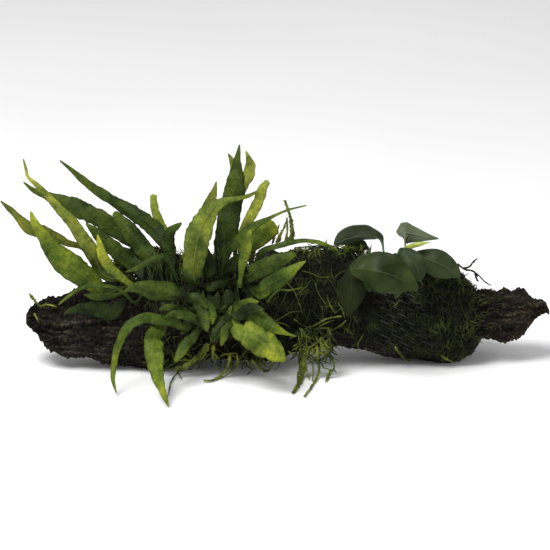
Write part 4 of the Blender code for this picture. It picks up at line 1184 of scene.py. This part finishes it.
def on_wood(across, up, clearance):
    """The place over the log's skin that is seen at a place of the drawing."""
    low, high = SEARCH_LOW, SEARCH_HIGH
    for _ in range(SEARCH_STEPS):
        middle = (low + high) / 2
        if drawn(wood_point(across, middle, LOG_ROWS, clearance))[1] < up:
            low = middle
        else:
            high = middle
    return wood_point(across, (low + high) / 2, LOG_ROWS, clearance)


def on_skin(across, degrees, clearance):
    """A place on the log, or on its branch past the fork."""
    rows = LOG_ROWS if across < FORK_ACROSS else BRANCH_ROWS
    return wood_point(across, math.radians(degrees), rows, clearance)


def sprig(rng, foot, lean, thickness, bend=0.5):
    """A short moss stem that stands off the wood."""
    return mossy(rng, [foot, foot + lean * bend, foot + lean], thickness)


print("a place on the log's front:", [round(c, 3) for c in on_wood(30.0, 40.0, 2.0)])

# %% Moss patches on the wood
lay_strands("moss_middle_dark",
            patch(1, 520, ((1, 66), (-45, 112), (60, 120), (8, 26), (0.6, 3.8)),
                  thick=0.26, spur=1.6, curl=0.4), MOSS_DARK, ["moss_middle"])
flecks_rng = random.Random(2)
flecks = []
for stem in wandering(flecks_rng, 70, ((0, 64), (-35, 105), (-60, 240), (3, 8), (2.5, 4.2))):
    flecks += mossy(flecks_rng, stem, flecks_rng.uniform(0.8, 1.5))
lay_strands("moss_middle_olive", flecks, MOSS_DIM, ["moss_middle"])
lay_strands("moss_right_dark",
            patch(3, 560, ((100, 149), (-50, 66), (60, 120), (4, 12), (0.6, 2.6)),
                  thick=0.34, spur=1.3, curl=0.35), MOSS_DARK, ["moss_right"])
lay_strands("moss_under_net",
            patch(13, 420, ((66, 106), (-52, 44), (60, 120), (4, 14), (0.5, 1.8)),
                  thick=0.30, spur=1.2, curl=0.4), MOSS_DARK, ["net_wrap"])
flecks_rng = random.Random(4)
flecks = []
for stem in wandering(flecks_rng, 150, ((104, 148), (-50, 60), (50, 130), (2.5, 6), (1.5, 3.2))):
    flecks += mossy(flecks_rng, stem, flecks_rng.uniform(0.6, 1.2))
lay_strands("moss_right_olive", flecks, MOSS_DIM, ["moss_right"])

# %% Single stems on the wood
MIDDLE_STEMS = (
    (2.0, [(49.5, 36), (43.5, 35.2), (37.5, 33.7), (32.2, 30.7), (26.2, 27.7)]),
    (1.6, [(53.2, 33), (50.2, 30), (45.7, 27), (41.2, 24.7)]),
    (1.4, [(39, 52.5), (39.7, 48), (42, 42.7), (45, 38.2)]),
    (1.5, [(0.7, 32.2), (6.7, 36), (12.7, 39), (20.2, 39.7)]),
    (1.3, [(2, 31.5), (7.5, 30), (11, 27.7)]),
    (2.0, [(21.7, 15.7), (26.2, 19.5), (30, 23.2), (33, 24)]),
    (1.5, [(29.2, 26.2), (35.2, 27), (41.2, 27)]),
    (1.5, [(20.2, 69.7), (26.2, 68.2), (33.7, 65.2), (39.7, 65.2)]),
    (1.4, [(45, 65.2), (48.7, 68.2), (52.5, 69.7)]),
    (1.7, [(24, 12), (30, 16.5), (37, 20), (46, 24)]),
    (1.4, [(21, 21), (28, 24), (36, 30), (44, 33)]),
    (1.2, [(14, 34), (21, 29), (28, 27)]),
    (1.2, [(47, 46), (50, 41), (52, 35)]),
    (1.1, [(8, 62), (14, 55), (18, 46), (20, 38)]),
    (1.1, [(30, 60), (33, 52), (38, 45)]),
    (1.3, [(93, 48), (89.2, 43.5)]),
    (1.2, [(108.7, 62.2), (111, 59.2)]),
    (1.2, [(62.2, 16), (62.2, 9)]),
    (2.4, [(90, 13), (93, 8.5), (97, 4.5), (101, 2)]),
    (2.0, [(125, 6), (130, 3), (135, 0.8)]),
    (1.8, [(66, 22), (62, 15.5), (58, 13.5)]),
)
STEM_HEIGHT = 5.0            # over the wood
stems_rng = random.Random(11)
single = []
for thickness, places in MIDDLE_STEMS:
    stem = [on_wood(across, up, STEM_HEIGHT) for across, up in places]
    single += mossy(stems_rng, stem, thickness)
for _ in range(26):
    foot = on_skin(*draw(stems_rng, (49, 72), (92, 108)), 0.5)
    single += sprig(stems_rng, foot, Vector(draw(stems_rng, (-3, 3), (-2, 2), (4, 9))) * MM, 1.0)
lay_strands("moss_single_stems", single, MOSS_OLIVE, ["moss_middle"])

# %% [markdown]
# ## Moss among the leaves and on the edges
#
# The fern's leaves stand in moss, which fills the gaps between their stalks.
# More of it stands up along the log's skyline, on the shoulder where the branch
# starts and on the back. Each of these is a random crowd within its own ranges;
# placing every stem by hand would show no more than that.

# %% Moss among the leaves
LEAF_GAPS = ((-93, -58), (-50, -8))
crowd_rng = random.Random(12)
crowd, crowd_lit = [], []
low_crowd = ((-92, 4), (-28, 78), (200, 340), (4, 13), (0.8, 5.0))
for number, stem in enumerate(wandering(crowd_rng, 300, low_crowd, curl=0.35)):
    if number % 4:
        crowd += mossy(crowd_rng, stem, crowd_rng.uniform(0.7, 1.5))
    else:
        crowd_lit += mossy(crowd_rng, stem, crowd_rng.uniform(0.6, 1.2))
high_crowd = ((-120, 2), (34, 92), (160, 380), (4, 9), (5.0, 9.5))
for stem in wandering(crowd_rng, 200, high_crowd, curl=0.4):
    crowd += mossy(crowd_rng, stem, crowd_rng.uniform(0.8, 1.6))
for number in range(170):
    across, out, height, sway, bend = draw(crowd_rng, LEAF_GAPS[number % 2], (2, 16), (8, 26),
                                           (-3, 3), (-6, 6))
    stem = [spot(across, 62, out), spot(across + sway, 62 + height * 0.6, out),
            spot(across + bend, 62 + height, out - 2)]
    strands = mossy(crowd_rng, stem, 1.2)
    if number % 6:
        crowd += strands
    else:
        crowd_lit += strands
for _ in range(70):
    across, out, sway, bend, up = draw(crowd_rng, (-122, -97), (-6, 8), (-3, 3), (-5, 5), (66, 71))
    stem = [spot(across, 58, out), spot(across + sway, 64, out), spot(across + bend, up, out - 1)]
    crowd += mossy(crowd_rng, stem, 1.5)
lay_strands("moss_among_leaves", crowd, MOSS_DIM, [])
lay_strands("moss_among_leaves_lit", crowd_lit, MOSS_OLIVE, [])

# %% Moss on the skyline, the shoulder and the back
skyline = []
for stem in wandering(crowd_rng, 80, ((4, 62), (78, 104), (-30, 210), (4, 10), (1.5, 5.0))):
    skyline += mossy(crowd_rng, stem, crowd_rng.uniform(0.8, 1.5))
lay_strands("moss_skyline", skyline, MOSS_OLIVE, ["moss_middle"])
shoulder = []
for _ in range(90):
    foot = on_skin(crowd_rng.triangular(134, 178, 150), crowd_rng.uniform(48, 96), 0.2)
    lean = Vector((crowd_rng.gauss(0, 2), crowd_rng.uniform(-3, 0), crowd_rng.uniform(0.5, 3))) * MM
    shoulder += sprig(crowd_rng, foot, lean, 1.1, bend=0.6)
for _ in range(60):
    foot = on_skin(*draw(crowd_rng, (144, 164), (-40, 60)), 0.3)
    lean = Vector((crowd_rng.uniform(1, 6), crowd_rng.uniform(-1.5, 0), crowd_rng.gauss(0, 2))) * MM
    shoulder += sprig(crowd_rng, foot, lean, 0.9)
lay_strands("moss_shoulder", shoulder, MOSS_DIM, [])
sprigs = []
for _ in range(34):
    foot = on_skin(*draw(crowd_rng, (34, 74), (84, 104)), 0.5)
    sprigs += sprig(crowd_rng, foot, Vector(draw(crowd_rng, (-4, 4), (-3, 2), (3, 8))) * MM, 1.2)
lay_strands("moss_sprigs_lit", sprigs, MOSS_LIT, ["moss_middle"])
lay_strands("moss_on_the_back",
            patch(15, 150, ((-130, 146), (96, 150), (60, 120), (5, 16), (0.4, 2.4)),
                  thick=0.34, spur=1.6, curl=0.5), MOSS_DIM, [])

# %% Stems at the log's left end
LEFT_STEMS = (
    (3.0, [spot(-184.5, 52.5, 2), spot(-181, 48.5, 4), on_wood(-176.5, 43.5, 1.5),
           on_wood(-171, 44.5, 1.5), on_wood(-164, 43, 1.5)]),
    (2.0, [on_wood(-180.5, 38, 1.5), on_wood(-177.5, 33, 1.5)]),
)
left = []
for thickness, places in LEFT_STEMS:
    left += mossy(stems_rng, places, thickness)
lay_strands("moss_left_stems", left, MOSS_LIT, [])

# %% [markdown]
# ## The moss mound
#
# Behind the fern's left half, moss stands in a long low mound. A dark knobbly
# core, painted shade for the dense inside of the moss, keeps light from
# showing through, and stems grow out of it all round.

# %% Moss mound behind the fern
MOUND_MIDDLE = spot(-94, 76, -25)
MOUND_SIZE = (33.0, 10.0, 13.5)
MOUND_STEMS = 270
MOUND_ORDER = ("olive", "dark", "dim", "dark", "dim")
UPWARD = 0.3                 # stems grow up more often than down
mound_rng = random.Random(5)
mound = {"dark": [], "dim": [], "olive": []}
for number in range(MOUND_STEMS):
    direction = Vector((mound_rng.gauss(0, 1), mound_rng.gauss(0, 1),
                        mound_rng.gauss(0, 1) + UPWARD)).normalized()
    reach = Vector([a * b for a, b in zip(direction, MOUND_SIZE)]) * MM
    root = MOUND_MIDDLE + reach * 0.15
    sway = gauss_vector(mound_rng, 2) * MM
    stem = smooth_path([root, root + reach * 0.5 + sway, MOUND_MIDDLE + reach * 0.95], 7)
    mound[MOUND_ORDER[number % 5]] += mossy(mound_rng, stem, 1.7, pace=1.3)
core = bmesh.new()
bmesh.ops.create_icosphere(core, subdivisions=5, radius=1.0)
for vert in core.verts:
    rough = 0.80 + 0.16 * noise.noise(vert.co * 5.0) + 0.10 * noise.noise(vert.co * 14.0)
    vert.co = Vector([a * b * rough * MM for a, b in zip(vert.co, MOUND_SIZE)]) + MOUND_MIDDLE
place_piece(core, "moss_mound_shade_core", MOSS_DARK, ["moss_mound"])
for tone, material in (("dark", MOSS_DARK), ("dim", MOSS_DIM), ("olive", MOSS_OLIVE)):
    lay_strands("moss_mound_" + tone, mound[tone], material, ["moss_mound"])

# %% [markdown]
# ## Standing and hanging moss
#
# A few stems stand up behind the fern's right side, and a tuft hangs over the
# log's front edge. Under the log there is no room to hang, so the stems lie
# forward on the surface, as they would on a shelf.

# %% Standing stems
STANDING = (
    (2.0, [(9, 90, -11), (12, 96, -11), (12.5, 104, -11.5), (11, 112, -12), (7.5, 122, -12)]),
    (1.5, [(7, 90, -11), (9, 97, -11), (9, 109, -12)]),
    (1.4, [(1, 90, -10), (3, 96, -11), (7.5, 103, -11.5)]),
    (1.4, [(3, 91, -10), (5, 98, -11), (9, 108, -12)]),
    (1.4, [(-2, 90, -10), (0, 97, -11), (3, 104, -11)]),
    (1.5, [(12, 91, -10), (14, 97, -11), (13, 103, -11)]),
)
SPRAY_THICKENING = 1.8       # leaflets are finer than the outline they make
spray_rng = random.Random(6)
spray = []
for thickness, places in STANDING:
    spray += mossy(spray_rng, [spot(*place) for place in places], thickness * SPRAY_THICKENING,
                   pace=0.8)
lay_strands("moss_spray_stems", spray, MOSS_LIT, ["moss_spray"])

# %% Strands that trail to the surface
LYING_HEIGHT = 1.6           # of a strand that lies on the floor


def trail(across, up, out=33.0):
    """A place in front of the log, moved forward where it would sink into the floor."""
    least = (LYING_HEIGHT * math.cos(VIEW_TILT) - up) / math.sin(VIEW_TILT)
    return spot(across, up, max(out, least))


TUFT = (
    (3.4, [(23, 14), (21.5, 7), (21, 1.5), (20, -4.5), (18.7, -12), (16.5, -16.5), (13.5, -20.2)]),
    (2.0, [(19.5, 0), (18.7, -3), (17.2, -8), (17, -13)]),
    (2.2, [(25, 12), (22.5, 3), (22.5, -3), (21, -9), (19.5, -14)]),
    (2.2, [(31, 14), (32.2, 4.5), (33, -1.5), (32.2, -7.5), (30, -12), (27, -16.5), (24, -20.2),
           (21.7, -23.2)]),
    (1.6, [(28, 12), (27.7, 3), (28.5, -3), (28.5, -7.5), (27.7, -12)]),
    (2.3, [(35, 14), (39, 9), (42, 6), (43.5, 2.2), (44.2, -2.2), (42.7, -5.2)]),
    (2.6, [(42, -4), (39.7, -9), (38.2, -12)]),
    (1.3, [(44.2, -4), (45.7, -6)]),
    (1.5, [(35, 1), (36, -2.2), (39.7, -3.7), (42.7, -5.2)]),
    (1.7, [(23, 2), (24, -6), (25.5, -10.5)]),
    (1.8, [(19, 12), (18, 6), (18.7, 1.5), (18, -2.2)]),
)
TUFT_THICKENING = 1.15
tuft_rng = random.Random(7)
tuft = []
for thickness, places in TUFT:
    tuft += mossy(tuft_rng, [trail(across, up, 35.0) for across, up in places],
                  thickness * TUFT_THICKENING, pace=0.7)
tuft_fill = ([], [])
for number in range(110):
    across, up, drop, sway, out = draw(tuft_rng, (16, 44), (6, 29), (3, 11), (-10, 10), (29, 36))
    stem = [trail(across, up, out), trail(across + sway * 0.3, up - drop / 2, out + 1.5),
            trail(across + sway, max(up - drop, 0.5), out)]
    tuft_fill[number % 2].extend(mossy(tuft_rng, stem, tuft_rng.uniform(1.1, 2.0)))
lay_strands("moss_tuft_stems", tuft, MOSS_LIT, ["moss_tuft"])
lay_strands("moss_tuft_olive", tuft_fill[0], MOSS_OLIVE, ["moss_tuft"])
lay_strands("moss_tuft_shade", tuft_fill[1], MOSS_DIM, ["moss_tuft"])

# %% [markdown]
# ## Roots
#
# Roots hold both plants to the wood. Most are hair-thin and dark and run down
# the log's front; a few stand off it at the right end, and some hang below the
# fern with moss on them. The drawn ones follow their own few points.

# %% Roots that stand off the wood
FERN_ROOTS = (
    (4.0, [(-50.2, 15.7), (-54, 9), (-59.2, 4.5), (-63.7, 0.7), (-68.2, -2.2), (-72.7, -3.7)]),
    (1.3, [(-69, -3), (-72.7, -6), (-75.7, -9.7), (-78, -14.2), (-78.7, -19.5), (-79.5, -23.2)]),
    (1.1, [(-72.7, -6), (-69.7, -10.5)]),
    (1.2, [(-79, -1.5), (-74, 1.5), (-70, 3), (-63.7, 3), (-56, 3), (-51, 3), (-46, 4)]),
    (1.3, [(-56, 2), (-52, 5), (-49, 7.5)]),
    (2.2, [(-46, 14), (-46.5, 9), (-46.5, 4.5)]),
    (1.8, [(-46.5, 9), (-42.7, 4.5)]),
    (1.5, [(-41, 6), (-36.7, 7.5), (-29, 8.2)]),
    (2.2, [(-33.7, 6.7), (-34.5, 1.5), (-36, -3), (-39.7, -7.5), (-43.5, -10.5), (-48, -12),
           (-52.5, -12)]),
    (1.5, [(-28.5, 7.5), (-28, 3), (-28.5, -2.2), (-33.7, -6), (-38.2, -9), (-43, -10.5)]),
    (1.1, [(-36.7, -3.7), (-31.5, -0.7), (-26.2, 1.5), (-21.7, 3)]),
    (1.3, [(-21, 3), (-18.7, -1.5), (-17.2, -4.5), (-21, -7.9)]),
    (1.0, [(-17.2, -4.5), (-14, -1.5)]),
    (2.0, [(-17.2, 3), (-14.2, -0.7), (-11.2, -3), (-7.5, -5.2), (-4.5, -4.5), (-3, -1.5),
           (-1.5, 3)]),
    (1.0, [(-14.2, -0.7), (-9.7, 0), (-8.2, 2.2)]),
    (1.4, [(9.7, 9.7), (13.5, 7.5), (18, 6), (18.4, 1.5), (18, -1.5)]),
)
ROOT_THICKENING = 1.35
GREEN_FROM = 1.4             # thicker roots than this have green moss on them
root_rng = random.Random(8)
green_roots, dark_roots, fringe = [], [], []
for thickness, places in FERN_ROOTS:
    strand = mossy(root_rng, [trail(*place) for place in places], thickness * ROOT_THICKENING,
                   pace=0.9)
    if thickness > GREEN_FROM:
        green_roots += strand
    else:
        dark_roots += strand
for number in range(90):
    across, up, drift, drop = draw(root_rng, (-80, 6), (1, 12), (-9, 9), (3, 10))
    stem = [on_wood(across, up, 1.5), trail(across + drift * 0.5, up - drop * 0.6, 30),
            trail(across + drift, max(up - drop, -4.0), 31)]
    if number % 3:
        fringe += mossy(root_rng, stem, root_rng.uniform(0.8, 1.5))
    else:
        green_roots += mossy(root_rng, stem, root_rng.uniform(0.8, 1.4))
lay_strands("fern_root_fringe", fringe, MOSS_DIM, ["fern_roots"])
lay_strands("fern_root_moss", green_roots, MOSS_LIT, ["fern_roots"])
lay_strands("fern_root_strands", dark_roots, MOSS_OLIVE, ["fern_roots"])
ANUBIAS_ROOTS = (
    [(137, 75, -9), (142, 71, -6), (147, 70, -4), (152, 67, -2), (158, 61, 0), (162, 59, 1)],
    [(141, 71.5, -6.5), (146, 73, -5), (149, 77, -6), (152, 79, -7)],
    [(143, 70.5, -5.5), (149, 69.5, -4), (152, 66, -3)],
    [(150, 68, -3), (152, 62, -3)],
)
strays = []
for places in ANUBIAS_ROOTS:
    path = even_path([spot(*place) for place in places], 14)
    strays += with_spurs(root_rng, path, 0.80, 0.45, 2.2, keep=0.35)
lay_strands("anubias_root_strands", strays, ROOT_BROWN, ["anubias_roots"])

# %% Roots that run down the wood
lay_strands("root_mat_fern",
            patch(9, 300, ((-112, 6), (-45, 80), (240, 300), (10, 34), (0.4, 2.4)),
                  thick=0.30, spur=1.2, curl=0.28, keep=0.25), ROOT_BROWN, [])
lay_strands("root_mat_middle",
            patch(10, 200, ((0, 72), (10, 100), (245, 295), (16, 46), (0.4, 3.0)),
                  thick=0.26, spur=1.2, curl=0.2, keep=0.15), ROOT_BROWN, [])
lay_strands("moss_middle_long",
            patch(14, 34, ((4, 62), (5, 95), (235, 310), (14, 30), (2.4, 4.4)),
                  thick=0.46, spur=1.6, curl=0.22, keep=0.9), MOSS_DIM, ["moss_middle"])

# %% [markdown]
# ## The net
#
# A fine dark net holds the moss to the wood. Its cells are about 9 mm by 5 mm
# and lie slantwise: a long side runs gently down, a short steep side goes back
# up to the next, and a short thread ties each corner to the row below. A wire
# modifier would give even cells only, so each thread is laid on the wood.

# %% Net threads
NET_SIDE = 7.0               # the long side of a cell, measured along the log
NET_STEP = 9.0               # from one cell to the next
NET_DROP = 3.2               # how far a long side runs down
NET_ROW = 5.2                # from one row of cells to the next
NET_TOP, NET_LEFT = 53.5, 70.0
NET_ROWS, NET_CELLS = 9, 5
NET_FROM, NET_TO = 72.0, 111.0
NET_HEIGHT = 2.2             # over the wood
LONG_RADIUS, SHORT_RADIUS = 0.17, 0.12


def net_finish(name, dark, pale):
    """A smooth thread, with paler patches painted where it catches the light."""
    return noise_finish(name, 0.35, 0.5, (160.0, EVEN, 3.0), ((0.42, dark), (0.62, pale)))


long_sides, short_sides = [], []
for row in range(NET_ROWS):
    top = NET_TOP - row * NET_ROW
    for column in range(NET_CELLS):
        start = NET_LEFT + column * NET_STEP + (row % 2) * NET_STEP / 2
        if not NET_FROM < start < NET_TO:
            continue
        corners = [on_wood(start + share * NET_SIDE, top - share * NET_DROP, NET_HEIGHT)
                   for share in (0.0, 0.33, 0.67, 1.0)]
        long_sides.append((corners, [LONG_RADIUS] * 4))
        for end in ((start + NET_STEP, top), (start + NET_SIDE, top - NET_ROW - 0.33 * NET_DROP)):
            short_sides.append(([corners[-1], on_wood(*end, NET_HEIGHT)], [SHORT_RADIUS] * 2))
# the long sides take the paler net_thread_lit finish: a painted highlight where they catch the light
lay_strands("net_long_sides", long_sides,
            net_finish("net_thread_lit", (0.012, 0.012, 0.012), (0.13, 0.13, 0.12)),
            ["net_wrap"])
lay_strands("net_short_sides", short_sides,
            net_finish("net_thread", (0.003, 0.003, 0.003), (0.020, 0.020, 0.020)),
            ["net_wrap"])

# %% [markdown]
# ## Floor, light and camera
#
# The photograph has a plain white ground and soft light from above and in
# front. A pale floor, one large soft light above left and a weaker one from
# the right give the same soft shadows. The camera looks from the front and 18
# degrees above, through a long lens, so that leaves near it aren't enlarged.

# %% Floor
FLOOR_HALF = 6.0
floor_bm = bmesh.new()
bmesh.ops.create_grid(floor_bm, x_segments=1, y_segments=1, size=FLOOR_HALF)
floor_mesh = bpy.data.meshes.new("floor")
floor_bm.to_mesh(floor_mesh)
floor_bm.free()
floor_mesh.materials.append(noise_finish(
    "pale_floor", 0.9, 0.1, (3.0, EVEN, 2.0), ((0.3, (0.86, 0.86, 0.86)), (0.7, (0.90, 0.90, 0.90)))))
floor = bpy.data.objects.new("floor", floor_mesh)
bpy.context.scene.collection.objects.link(floor)
print("floor laid")

# %% Light
LIGHT_AIM = Vector((0.0, 0.0, 0.06))
WORLD_STRENGTH = 0.50


def area_light(name, place, size, power):
    """A soft square light that faces the piece."""
    lamp = bpy.data.lights.new(name, "AREA")
    lamp.size = size
    lamp.energy = power
    light = bpy.data.objects.new(name, lamp)
    light.location = place
    light.rotation_euler = (LIGHT_AIM - Vector(place)).to_track_quat("-Z", "Y").to_euler()
    bpy.context.scene.collection.objects.link(light)


area_light("key_light", (-0.6, -0.7, 1.5), 0.8, 36.0)
area_light("fill_light", (1.1, -0.9, 0.8), 1.0, 5.0)
world = bpy.data.worlds.new("studio")
world.use_nodes = True
background = world.node_tree.nodes["Background"]
background.inputs["Color"].default_value = (1.0, 1.0, 1.0, 1.0)
background.inputs["Strength"].default_value = WORLD_STRENGTH
bpy.context.scene.world = world
bpy.context.scene.view_settings.view_transform = "Standard"
print("lights set")

# %% Camera
VIEW_WIDTH = 0.4125          # what the picture's width takes in at the piece
CAMERA_DISTANCE = 4.0
SENSOR_WIDTH = 36.0
AIM = spot(0, 66.75, 0)
lens_data = bpy.data.cameras.new("camera")
lens_data.sensor_width = SENSOR_WIDTH
lens_data.lens = SENSOR_WIDTH * CAMERA_DISTANCE / VIEW_WIDTH
lens_data.clip_end = 20.0
camera = bpy.data.objects.new("camera", lens_data)
camera.location = AIM + TO_VIEWER * CAMERA_DISTANCE
camera.rotation_euler = (math.pi / 2 - VIEW_TILT, 0.0, 0.0)
bpy.context.scene.collection.objects.link(camera)
bpy.context.scene.camera = camera
print("lens", round(lens_data.lens), "mm")

# %% [markdown]
# ## The strands' section
#
# The triangle was only the section of the strands, so it is taken away.

# %% Take away the strands' section
bpy.data.curves.remove(triangle.data)
